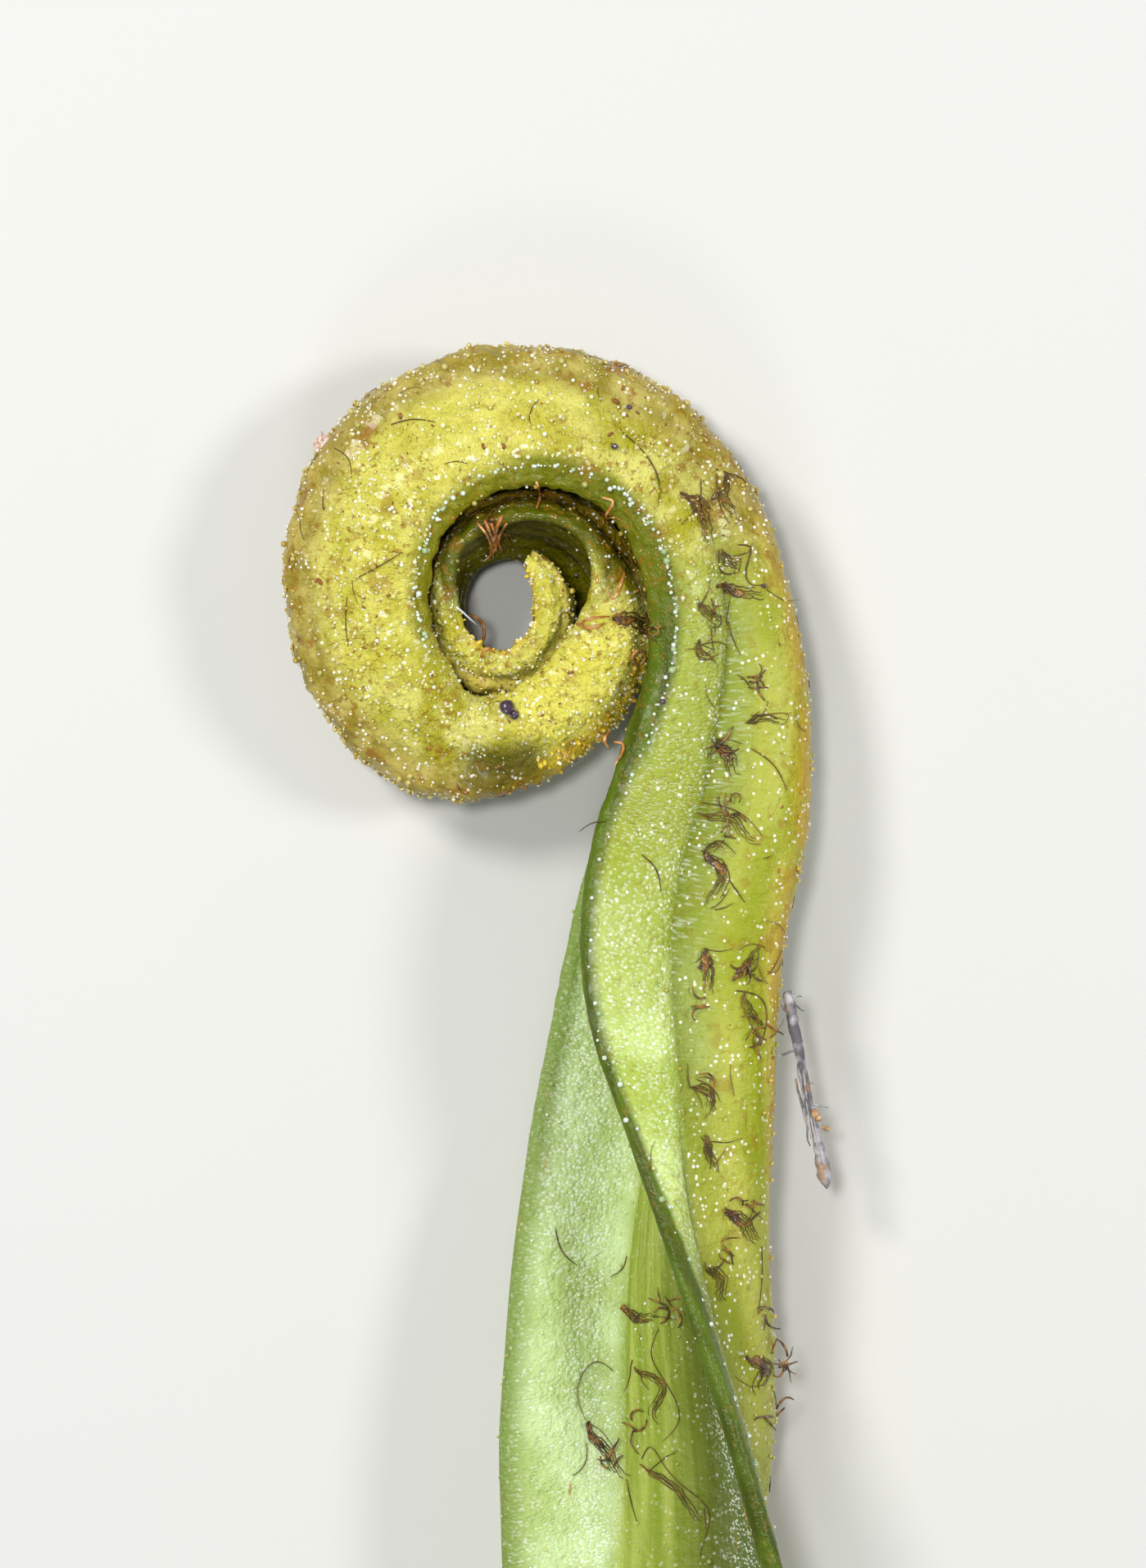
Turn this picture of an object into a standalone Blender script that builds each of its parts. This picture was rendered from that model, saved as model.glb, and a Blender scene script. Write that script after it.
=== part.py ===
"""Fern frond: a young strap-shaped frond, coiled at the tip, with brown scales on its midrib.

The frond lies on its side. +Y runs from the cut stalk to the coil, +Z is up from the surface that it
lies on, and the origin is under the middle of its bounding box. Sizes in the tables are millimetres.
"""

import math

import bmesh
import bpy
import numpy as np
from mathutils import Matrix, Vector
from mathutils.bvhtree import BVHTree

MM = 0.001

COLLECTION = "fern_frond"

# One row is one cross-section, from the tip of the coil to the cut end of the stalk.
# The back line is the outer edge of the midrib. "in" is measured from it towards the hollow side of
# the blade, "up" from the middle plane. "twist" turns the midrib's hollow side upwards. "fold" is how
# sharply each half of the blade leaves the midrib, "heading" the way it faces at its margin (degrees
# from outwards, over up), and "hem" the thickness of the rolled margin.
COLUMNS = (
    "depth", "half_width", "twist", "centre_in", "centre_up",
    "near_in", "near_up", "near_heading", "near_hem", "near_fold",
    "far_in", "far_up", "far_heading", "far_hem", "far_fold", "sheet",
)

# Turns of the coil: angle round its centre and radius of the back line, then the columns above.
COIL = (
    (775, 1.40, 0.13, 0.14, 0, 0.15, 0.46, 0.34, 0.64, 215, 0.16, 25, 0.34, 0.26, 160, 0.16, 25, 0.14),
    (750, 1.53, 0.22, 0.27, 0, 0.22, 0.40, 0.62, 0.80, 228, 0.20, 25, 0.62, 0.02, 150, 0.20, 25, 0.17),
    (720, 1.66, 0.28, 0.35, 0, 0.28, 0.34, 0.74, 0.86, 232, 0.22, 25, 0.76, -0.14, 150, 0.22, 25, 0.19),
    (675, 1.88, 0.34, 0.43, 0, 0.34, 0.25, 0.80, 0.88, 235, 0.24, 25, 0.84, -0.36, 150, 0.24, 25, 0.20),
    (630, 2.08, 0.40, 0.50, 0, 0.40, 0.14, 0.88, 0.84, 232, 0.25, 25, 0.90, -0.54, 150, 0.25, 25, 0.21),
    (585, 1.92, 0.43, 0.54, 2, 0.43, 0.06, 0.86, 0.80, 225, 0.26, 25, 0.90, -0.66, 164, 0.26, 30, 0.22),
    (540, 1.78, 0.46, 0.58, 10, 0.46, 0.02, 0.80, 0.82, 205, 0.26, 28, 0.92, -0.80, 178, 0.26, 32, 0.23),
    (495, 2.02, 0.50, 0.62, 22, 0.52, 0.00, 0.62, 0.92, 165, 0.27, 35, 1.12, -0.86, 192, 0.26, 34, 0.24),
    (450, 2.42, 0.55, 0.68, 30, 0.60, 0.00, 0.62, 1.06, 145, 0.28, 35, 1.36, -0.88, 190, 0.27, 38, 0.25),
    (405, 2.90, 0.61, 0.74, 32, 0.66, 0.00, 0.56, 1.16, 148, 0.28, 34, 1.60, -0.92, 182, 0.28, 42, 0.26),
    (382, 3.13, 0.64, 0.77, 31, 0.70, 0.00, 0.86, 1.22, 175, 0.28, 24, 1.69, -0.96, 177, 0.28, 42, 0.26),
    (360, 3.38, 0.68, 0.80, 30, 0.74, 0.00, 1.46, 1.24, 216, 0.28, 12, 1.76, -1.00, 172, 0.28, 42, 0.27),
    (335, 3.58, 0.74, 0.84, 30, 0.82, 0.02, 1.76, 1.20, 230, 0.28, 8, 1.85, -1.07, 162, 0.28, 40, 0.28),
    (310, 3.72, 0.79, 0.88, 28, 0.88, 0.04, 1.86, 1.20, 234, 0.30, 6, 1.90, -1.11, 154, 0.30, 38, 0.29),
    (288, 3.98, 0.85, 0.91, 20, 0.90, 0.02, 1.92, 1.18, 236, 0.32, 18, 1.98, -1.13, 145, 0.32, 36, 0.29),
    (268, 4.32, 0.90, 0.94, 8, 0.92, 0.00, 2.12, 1.14, 235, 0.34, 28, 2.15, -1.14, 132, 0.36, 34, 0.30),
    (248, 4.52, 0.93, 0.96, 0, 0.92, 0.00, 2.42, 1.16, 235, 0.38, 32, 2.40, -1.16, 125, 0.40, 32, 0.31),
    (215, 4.52, 0.95, 0.98, 0, 0.94, 0.00, 2.72, 1.20, 238, 0.44, 34, 2.70, -1.20, 122, 0.44, 34, 0.32),
    (180, 4.66, 0.97, 1.00, 0, 0.96, 0.00, 2.98, 1.22, 240, 0.46, 34, 2.90, -1.22, 120, 0.46, 34, 0.33),
    (135, 5.20, 0.98, 1.02, 0, 0.97, 0.00, 3.10, 1.26, 240, 0.46, 34, 3.00, -1.26, 120, 0.46, 34, 0.33),
    (90, 5.60, 1.02, 1.04, 0, 1.01, 0.00, 2.92, 1.30, 240, 0.46, 34, 2.90, -1.30, 120, 0.46, 34, 0.34),
    (45, 6.02, 1.14, 1.06, 0, 1.13, 0.00, 2.76, 1.34, 238, 0.46, 36, 2.90, -1.34, 122, 0.46, 36, 0.34),
    (0, 6.50, 1.42, 1.10, 0, 1.41, 0.00, 3.05, 1.38, 232, 0.44, 42, 3.10, -1.36, 126, 0.44, 42, 0.34),
)
COIL_UP = -0.45  # height of the back line round the coil

# The strap and the stalk: X, Y and height of the back line, then the same columns.
STRAP = (
    (6.80, -1.6, -0.40, 1.72, 1.14, 0, 1.71, 0.00, 3.52, 1.42, 225, 0.40, 50, 3.50, -1.36, 130, 0.40, 50, 0.34),
    (6.90, -3.4, -0.32, 2.05, 1.17, 0, 2.04, 0.00, 4.08, 1.44, 215, 0.34, 58, 3.90, -1.32, 140, 0.34, 56, 0.34),
    (6.80, -5.2, -0.22, 2.30, 1.19, 0, 2.29, 0.00, 4.42, 1.44, 205, 0.28, 62, 4.22, -1.24, 150, 0.30, 60, 0.33),
    (6.40, -7.0, -0.10, 2.32, 1.21, 0, 2.31, 0.00, 4.46, 1.44, 195, 0.22, 64, 4.46, -1.10, 158, 0.28, 62, 0.33),
    (6.18, -8.8, 0.04, 2.16, 1.24, 2, 2.15, 0.00, 4.20, 1.48, 190, 0.20, 64, 4.72, -0.96, 168, 0.26, 62, 0.33),
    (6.10, -10.6, 0.20, 2.10, 1.29, 8, 2.10, -0.02, 3.62, 1.60, 182, 0.20, 60, 5.02, -0.76, 178, 0.26, 58, 0.33),
    (6.03, -12.4, 0.38, 2.20, 1.35, 19, 2.20, -0.06, 2.84, 1.78, 168, 0.24, 52, 5.28, -0.54, 190, 0.26, 50, 0.33),
    (6.06, -14.2, 0.55, 2.36, 1.40, 31, 2.34, -0.10, 2.16, 2.00, 150, 0.32, 44, 5.60, -0.36, 202, 0.26, 40, 0.33),
    (6.16, -16.0, 0.70, 2.60, 1.43, 41, 2.40, -0.16, 1.64, 2.16, 134, 0.40, 34, 5.88, -0.28, 210, 0.26, 30, 0.34),
    (6.30, -17.8, 0.82, 2.78, 1.45, 50, 2.46, -0.22, 1.20, 2.24, 120, 0.44, 24, 6.14, -0.26, 214, 0.26, 22, 0.34),
    (6.40, -19.6, 0.88, 2.84, 1.46, 59, 2.52, -0.26, 0.80, 2.28, 110, 0.46, 8, 6.20, -0.26, 216, 0.26, 18, 0.34),
    (6.42, -21.4, 0.90, 2.84, 1.46, 67, 2.58, -0.28, 0.36, 2.26, 102, 0.46, 2, 6.17, -0.26, 216, 0.26, 16, 0.34),
    (6.34, -24.4, 0.88, 2.78, 1.45, 74, 2.66, -0.30, 0.28, 2.02, 98, 0.42, 4, 5.84, -0.24, 212, 0.26, 14, 0.34),
    (6.10, -27.6, 0.84, 2.70, 1.42, 78, 2.62, -0.32, 0.54, 1.60, 98, 0.38, 18, 5.14, -0.20, 205, 0.26, 14, 0.34),
    (5.72, -30.6, 0.78, 2.62, 1.40, 80, 2.46, -0.34, 0.76, 1.12, 98, 0.34, 32, 4.46, -0.24, 196, 0.26, 14, 0.34),
    (5.30, -33.4, 0.72, 2.56, 1.38, 80, 2.22, -0.36, 0.80, 0.66, 98, 0.32, 50, 3.98, -0.30, 186, 0.28, 16, 0.34),
    (4.94, -35.8, 0.66, 2.54, 1.36, 80, 2.02, -0.38, 0.74, 0.40, 98, 0.32, 66, 3.72, -0.36, 178, 0.28, 20, 0.34),
    (4.70, -37.6, 0.62, 2.56, 1.38, 80, 1.92, -0.40, 0.66, 0.32, 98, 0.32, 72, 3.60, -0.40, 176, 0.28, 24, 0.34),
)

# Brown scales that lie on the frond: X and Y of the middle, heading in degrees, length and width.
SCALES = (
    (4.50, 1.93, -62, 1.20, 0.34),
    (4.98, 2.25, -78, 1.10, 0.26),
    (5.10, 0.85, -30, 0.62, 0.30),
    (5.33, 0.20, -12, 0.95, 0.34),
    (4.66, -0.29, -40, 0.72, 0.34),
    (4.52, -1.22, -25, 0.75, 0.24),
    (5.90, -2.54, 0, 0.85, 0.26),
    (5.09, -3.42, -62, 0.90, 0.38),
    (5.15, -4.77, -28, 1.45, 0.32),
    (4.95, -6.03, -85, 1.30, 0.40),
    (4.63, -8.10, -88, 0.90, 0.36),
    (5.49, -7.92, 50, 0.90, 0.24),
    (5.60, -9.09, -65, 1.10, 0.28),
    (4.63, -10.70, -45, 0.75, 0.26),
    (4.62, -12.06, -75, 0.75, 0.26),
    (5.42, -13.60, -50, 1.00, 0.44),
    (4.90, -14.80, -66, 0.95, 0.36),
    (5.92, -16.80, -70, 1.00, 0.46),
    (3.10, -15.70, -12, 0.75, 0.30),
    (3.62, -17.20, -70, 1.60, 0.24),
    (2.43, -18.70, -55, 1.50, 0.34),
    (3.92, -19.40, -41, 1.80, 0.22),
    (2.98, -0.40, -15, 0.80, 0.50),
    (-0.16, 1.52, -70, 0.70, 0.30),
)
SCALE_THICKNESS = 0.07
SCALE_LIFT = 0.03      # clear space under a scale
SCALE_DROOP = 0.30     # most that a scale's edge falls below its middle

SPLINTER = ((6.36, -8.55, 0.30), (7.26, -12.90, -0.35))  # grey splinter beside the midrib
SPLINTER_RADII = (0.09, 0.14)
PINK_GRAIN = (-3.86, 3.46, -0.35)
PINK_GRAIN_RADIUS = 0.20
DARK_BEAD = (0.22, -2.32)
DARK_BEAD_RADIUS = 0.17

ALONG = 96            # cross-sections in the loft
ARM_STEPS = 4         # points on each face of a blade half
COSTA_STEPS = 6       # points round the back of the midrib
FACE_CROWN = 0.12     # swell of the midrib's hollow side
BACK_SQUARENESS = 2.7  # 2 is an ellipse, more is boxier


def spline(knots, values, at):
    """Natural cubic spline through values (one row a knot), read at the given places."""
    gaps = np.diff(knots)
    slopes = np.diff(values, axis=0) / gaps[:, None]
    count = len(knots)
    system = np.eye(count)
    right = np.zeros_like(values)
    for i in range(1, count - 1):
        system[i, i - 1:i + 2] = gaps[i - 1], 2 * (gaps[i - 1] + gaps[i]), gaps[i]
        right[i] = 6 * (slopes[i] - slopes[i - 1])
    bend = np.linalg.solve(system, right)
    i = np.clip(np.searchsorted(knots, at) - 1, 0, count - 2)
    gap = gaps[i][:, None]
    before = ((knots[i + 1] - at)[:, None]) / gap
    after = 1 - before
    curved = (before**3 - before) * bend[i] + (after**3 - after) * bend[i + 1]
    return before * values[i] + after * values[i + 1] + curved * gap**2 / 6


def key_rows():
    """Back-line points and section columns of every row, from the tip to the cut end."""
    points, columns = [], []
    for angle, radius, *rest in COIL:
        turn = math.radians(angle)
        points.append((radius * math.cos(turn), radius * math.sin(turn), COIL_UP))
        columns.append(rest)
    for x, y, z, *rest in STRAP:
        points.append((x, y, z))
        columns.append(rest)
    return np.array(points), np.array(columns, float)


def stations(count):
    """Evenly spaced frames along the frond: place, outward direction, run from the tip and columns."""
    points, columns = key_rows()
    chords = np.linalg.norm(np.diff(points, axis=0), axis=1)
    knots = np.concatenate([[0.0], np.cumsum(chords)])
    at = np.linspace(0.0, knots[-1], count)
    places = spline(knots, points, at)
    step = 1e-3
    ahead = spline(knots, points, np.clip(at + step, 0, knots[-1]))
    behind = spline(knots, points, np.clip(at - step, 0, knots[-1]))
    heading = ahead - behind
    heading /= np.linalg.norm(heading, axis=1)[:, None]
    outward = np.stack([-heading[:, 1], heading[:, 0], np.zeros(count)], axis=1)
    outward /= np.linalg.norm(outward, axis=1)[:, None]
    return places, outward, at, spline(knots, columns, at)


def bezier(start, leave, arrive, end, u):
    u = u[:, None]
    return ((1 - u)**3 * start + 3 * (1 - u)**2 * u * leave
            + 3 * (1 - u) * u**2 * arrive + u**3 * end)


def blade_half(root, leaving, margin, heading_deg, hem, sheet, side, steps):
    """Outer face, rounded margin and inner face of one half of the blade, from the midrib outwards."""
    heading = np.array([math.cos(math.radians(heading_deg)), math.sin(math.radians(heading_deg))])
    reach = np.linalg.norm(margin - root)
    u = np.linspace(0.0, 1.0, steps + 1)[1:]
    leave = root + leaving * reach * 0.42
    arrive = margin - heading * reach * 0.30
    middle = bezier(root, leave, arrive, margin, u)
    nudge = 1e-3
    run = bezier(root, leave, arrive, margin, u + nudge) - bezier(root, leave, arrive, margin, u - nudge)
    run /= np.linalg.norm(run, axis=1)[:, None]
    out = np.stack([run[:, 1], -run[:, 0]], axis=1) * side
    swell = u**6
    half = ((sheet * (1 - swell) + hem * swell) / 2)[:, None]
    outer = middle + out * half
    inner = middle - out * half
    tip = middle[-1] + run[-1] * half[-1] * 0.8
    return outer, [tip + out[-1] * half[-1] * 0.5, tip - out[-1] * half[-1] * 0.5], inner[::-1]


def section(row, arm_steps, costa_steps):
    """Closed outline of one cross-section as (outward, up) points, starting on the near half."""
    c = dict(zip(COLUMNS, row))
    twist = math.radians(c["twist"])
    hollow = np.array([-math.cos(twist), math.sin(twist)])
    across = np.array([math.sin(twist), math.cos(twist)])
    centre = np.array([-c["centre_in"], c["centre_up"]])
    sheet = c["sheet"]
    halves = []
    for name, side in (("near", 1), ("far", -1)):
        fold = math.radians(c[name + "_fold"])
        leaving = across * side * math.cos(fold) + hollow * math.sin(fold)
        root = centre + across * side * (c["half_width"] - sheet / 2)
        margin = np.array([-c[name + "_in"], c[name + "_up"]])
        halves.append(blade_half(root, leaving, margin, c[name + "_heading"], c[name + "_hem"],
                                 sheet, side, arm_steps))
    near, far = halves
    back = []
    for phi in np.linspace(-72, 72, costa_steps):
        cosine, sine = math.cos(math.radians(phi)), math.sin(math.radians(phi))
        power = 2 / BACK_SQUARENESS
        deep = -c["depth"] * abs(cosine)**power
        wide = math.copysign(c["half_width"] * abs(sine)**power, sine)
        back.append(centre + hollow * deep + across * wide)
    face = []
    for share in (-0.45, 0.45):
        swell = sheet / 2 + FACE_CROWN * c["half_width"] * (1 - share**2)
        face.append(centre + hollow * swell + across * share * c["half_width"])
    outline = list(near[2]) + face[::-1] + list(far[2])[::-1]
    outline += far[1][::-1] + list(far[0])[::-1] + back + list(near[0]) + near[1]
    return np.array(outline)


def loft_rings(count, arm_steps, costa_steps):
    places, outward, _, columns = stations(count)
    rings = []
    for place, out, row in zip(places, outward, columns):
        outline = section(row, arm_steps, costa_steps)
        rings.append(place + outline[:, :1] * out + outline[:, 1:] * np.array([0, 0, 1.0]))
    return np.array(rings)


def own_material(obj, colour, roughness, metallic=0.0):
    material = bpy.data.materials.new(obj.name)
    material.use_nodes = True
    shader = material.node_tree.nodes["Principled BSDF"]
    shader.inputs["Base Color"].default_value = (*colour, 1.0)
    shader.inputs["Roughness"].default_value = roughness
    shader.inputs["Metallic"].default_value = metallic
    obj.data.materials.append(material)


def new_object(name, mesh, collection):
    obj = bpy.data.objects.new(name, mesh)
    collection.objects.link(obj)
    return obj


def make_frond(collection):
    """The blade, its midrib and the stalk: one closed loft, with a fan over each end."""
    rings = loft_rings(ALONG, ARM_STEPS, COSTA_STEPS) * MM
    count = rings.shape[1]
    bm = bmesh.new()
    loops = [[bm.verts.new(point) for point in ring] for ring in rings]
    for one, two in zip(loops, loops[1:]):
        for i in range(count):
            j = (i + 1) % count
            bm.faces.new((one[i], one[j], two[j], two[i]))
    bm.faces.new(loops[0][::-1])
    bm.faces.new(loops[-1])
    bmesh.ops.triangulate(bm, faces=[f for f in bm.faces if len(f.verts) > 4])
    bmesh.ops.recalc_face_normals(bm, faces=bm.faces)
    mesh = bpy.data.meshes.new("frond")
    bm.to_mesh(mesh)
    bm.free()
    mesh.shade_smooth()
    frond = new_object("frond", mesh, collection)
    own_material(frond, (0.38, 0.50, 0.05), 0.35)
    return frond


def drop(tree, x, y):
    """Height of the frond under a point, in metres, or None beside it."""
    hit = tree.ray_cast(Vector((x, y, 1.0)), Vector((0, 0, -1.0)))[0]
    return hit.z if hit else None


def make_scale(name, tree, x, y, heading, length, width, collection):
    """A thin flake with pointed ends, draped over the frond under it."""
    bm = bmesh.new()
    bmesh.ops.create_cone(bm, cap_ends=True, cap_tris=True, segments=10, radius1=1, radius2=1, depth=1)
    turn = Matrix.Rotation(math.radians(heading), 3, "Z")
    middle = drop(tree, x * MM, y * MM)
    lowest, highest = middle - SCALE_DROOP * MM, middle + SCALE_DROOP * MM
    for vert in bm.verts:
        along, across = vert.co.x, vert.co.y
        flat = Vector((along * length / 2, across * (1 - 0.4 * along**2) * width / 2, 0.0))
        place = (turn @ flat + Vector((x, y, 0.0))) * MM
        under = drop(tree, place.x, place.y)
        under = middle if under is None else min(max(under, lowest), highest)
        above = SCALE_LIFT + (SCALE_THICKNESS if vert.co.z > 0 else 0.0)
        vert.co = (place.x, place.y, under + above * MM)
    mesh = bpy.data.meshes.new(name)
    bm.to_mesh(mesh)
    bm.free()
    scale = new_object(name, mesh, collection)
    own_material(scale, (0.10, 0.045, 0.015), 0.4)
    return scale


def make_splinter(collection):
    start, end = (Vector(point) * MM for point in SPLINTER)
    run = end - start
    bm = bmesh.new()
    bmesh.ops.create_cone(bm, cap_ends=True, segments=8, radius1=SPLINTER_RADII[0] * MM,
                          radius2=SPLINTER_RADII[1] * MM, depth=run.length)
    mesh = bpy.data.meshes.new("splinter")
    bm.to_mesh(mesh)
    bm.free()
    splinter = new_object("splinter", mesh, collection)
    splinter.location = (start + end) / 2
    splinter.rotation_euler = run.to_track_quat("Z", "Y").to_euler()
    own_material(splinter, (0.22, 0.21, 0.24), 0.6)
    return splinter


def make_ball(name, place, radius, colour, roughness, collection):
    bm = bmesh.new()
    bmesh.ops.create_icosphere(bm, subdivisions=1, radius=radius * MM)
    mesh = bpy.data.meshes.new(name)
    bm.to_mesh(mesh)
    bm.free()
    ball = new_object(name, mesh, collection)
    ball.location = Vector(place) * MM
    own_material(ball, colour, roughness)
    return ball


def stand_on_origin(objects):
    """Moves every object by the same amount, so that the box's bottom middle is the origin."""
    bpy.context.view_layer.update()
    corners = [obj.matrix_world @ vert.co for obj in objects for vert in obj.data.vertices]
    low = [min(corner[i] for corner in corners) for i in range(3)]
    high = [max(corner[i] for corner in corners) for i in range(3)]
    shift = Vector((-(low[0] + high[0]) / 2, -(low[1] + high[1]) / 2, -low[2]))
    for obj in objects:
        obj.location += shift
    print("shift", [round(value / MM, 3) for value in shift])


def clear_scene():
    for obj in list(bpy.data.objects):
        bpy.data.objects.remove(obj, do_unlink=True)


def main():
    clear_scene()
    collection = bpy.data.collections.new(COLLECTION)
    bpy.context.scene.collection.children.link(collection)
    frond = make_frond(collection)
    bm = bmesh.new()
    bm.from_mesh(frond.data)
    tree = BVHTree.FromBMesh(bm)
    bm.free()
    objects = [frond]
    for number, scale in enumerate(SCALES, 1):
        objects.append(make_scale(f"scale_{number:02d}", tree, *scale, collection))
    objects.append(make_splinter(collection))
    objects.append(make_ball("pink_grain", PINK_GRAIN, PINK_GRAIN_RADIUS, (0.62, 0.36, 0.28), 0.7, collection))
    bead_height = drop(tree, DARK_BEAD[0] * MM, DARK_BEAD[1] * MM) / MM + DARK_BEAD_RADIUS * 0.97
    objects.append(make_ball("dark_bead", (*DARK_BEAD, bead_height), DARK_BEAD_RADIUS,
                             (0.05, 0.03, 0.05), 0.15, collection))
    stand_on_origin(objects)


if __name__ == "__main__":
    main()
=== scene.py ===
# %% [markdown]
# # A young fern frond, still coiled at its tip
#
# A fern's new leaf unrolls like a watch spring. This one is the simple, strap-shaped kind: a thick midrib
# carries a thin blade on each side, and the two halves are folded together while the tip is coiled. The
# outside of the coil is set with shiny gland heads, and thin brown scales lie on the midrib.
#
# The imported model gives the size and place of every piece. It is opened first, and its box is kept; the
# floor is later laid at its lowest point. Sizes below are in millimetres, because a frond this small
# is hard to read in metres.

import math

import bpy
import numpy as np
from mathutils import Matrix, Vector, noise
from mathutils.bvhtree import BVHTree


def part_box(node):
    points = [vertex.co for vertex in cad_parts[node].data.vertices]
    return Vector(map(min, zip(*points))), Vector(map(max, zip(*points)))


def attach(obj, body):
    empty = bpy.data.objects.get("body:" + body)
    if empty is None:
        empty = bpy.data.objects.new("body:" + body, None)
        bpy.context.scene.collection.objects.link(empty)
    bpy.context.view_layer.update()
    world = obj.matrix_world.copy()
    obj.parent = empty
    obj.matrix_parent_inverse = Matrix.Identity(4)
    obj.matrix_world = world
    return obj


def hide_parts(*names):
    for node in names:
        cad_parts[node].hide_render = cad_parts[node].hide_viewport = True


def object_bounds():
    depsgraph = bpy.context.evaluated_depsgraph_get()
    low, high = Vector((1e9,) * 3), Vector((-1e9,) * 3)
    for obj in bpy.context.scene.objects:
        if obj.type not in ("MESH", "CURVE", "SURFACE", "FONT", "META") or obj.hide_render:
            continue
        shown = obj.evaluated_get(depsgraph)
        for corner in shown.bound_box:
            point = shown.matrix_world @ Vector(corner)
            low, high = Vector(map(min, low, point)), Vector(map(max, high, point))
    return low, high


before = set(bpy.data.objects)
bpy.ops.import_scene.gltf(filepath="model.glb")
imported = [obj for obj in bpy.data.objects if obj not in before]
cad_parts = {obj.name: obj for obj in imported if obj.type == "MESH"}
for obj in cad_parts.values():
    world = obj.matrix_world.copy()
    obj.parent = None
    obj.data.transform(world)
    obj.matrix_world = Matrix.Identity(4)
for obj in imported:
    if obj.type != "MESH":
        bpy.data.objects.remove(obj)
cad_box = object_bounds()
MM = 0.001
print("CAD box, mm:", [[round(value / MM, 2) for value in corner] for corner in cad_box])

# %% [markdown]
# ## Where the coil's centre is
#
# The frond is drawn round the centre of its coil, so every place below is measured from there. The pink
# grain is a ball whose centre is known in both systems, so it tells how far the one lies from the other.

# %% Find the coil's centre in the frame
PINK_GRAIN = (-3.86, 3.46, -0.35)
grain_low, grain_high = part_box("pink_grain")
SHIFT = np.array((grain_low + grain_high) / 2) / MM - np.array(PINK_GRAIN)


def to_frame(points):
    """Millimetres from the coil's centre, as metres in the frame."""
    return (np.asarray(points, float) + SHIFT) * MM


print("the coil's centre, mm:", np.round(SHIFT, 3))

# %% [markdown]
# ## Camera
#
# The frond lies flat and is looked at from straight above. A long lens keeps the near and far parts of
# the coil at the same size.

# %% Place the camera
VIEW_CENTRE = (1.665, -4.0, 0.0)
VIEW_HEIGHT = 34.45
LENS, SENSOR = 200.0, 36.0
camera_data = bpy.data.cameras.new("camera")
camera_data.lens = LENS
camera_data.sensor_width = SENSOR
camera_data.clip_start = 10 * MM
camera_data.clip_end = 10.0
camera = bpy.data.objects.new("camera", camera_data)
camera.location = Vector(to_frame(VIEW_CENTRE)) + Vector((0, 0, VIEW_HEIGHT * LENS / SENSOR * MM))
bpy.context.scene.collection.objects.link(camera)
bpy.context.scene.camera = camera
print("camera height, mm:", round(camera.location.z / MM, 1))

# %% [markdown]
# ## The key sections
#
# A leaf like this has no shape that a primitive gives, so it is drawn as a boat builder draws a hull: a
# set of cross-sections, and a smooth skin through them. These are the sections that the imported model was
# built from. Each row says where the back of the midrib is, how deep and wide the midrib is, and where
# each half of the blade has its margin.

# %% Write down the key sections
COLUMNS = (
    "depth", "half_width", "twist", "centre_in", "centre_up",
    "near_in", "near_up", "near_heading", "near_hem", "near_fold",
    "far_in", "far_up", "far_heading", "far_hem", "far_fold", "sheet",
)
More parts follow.
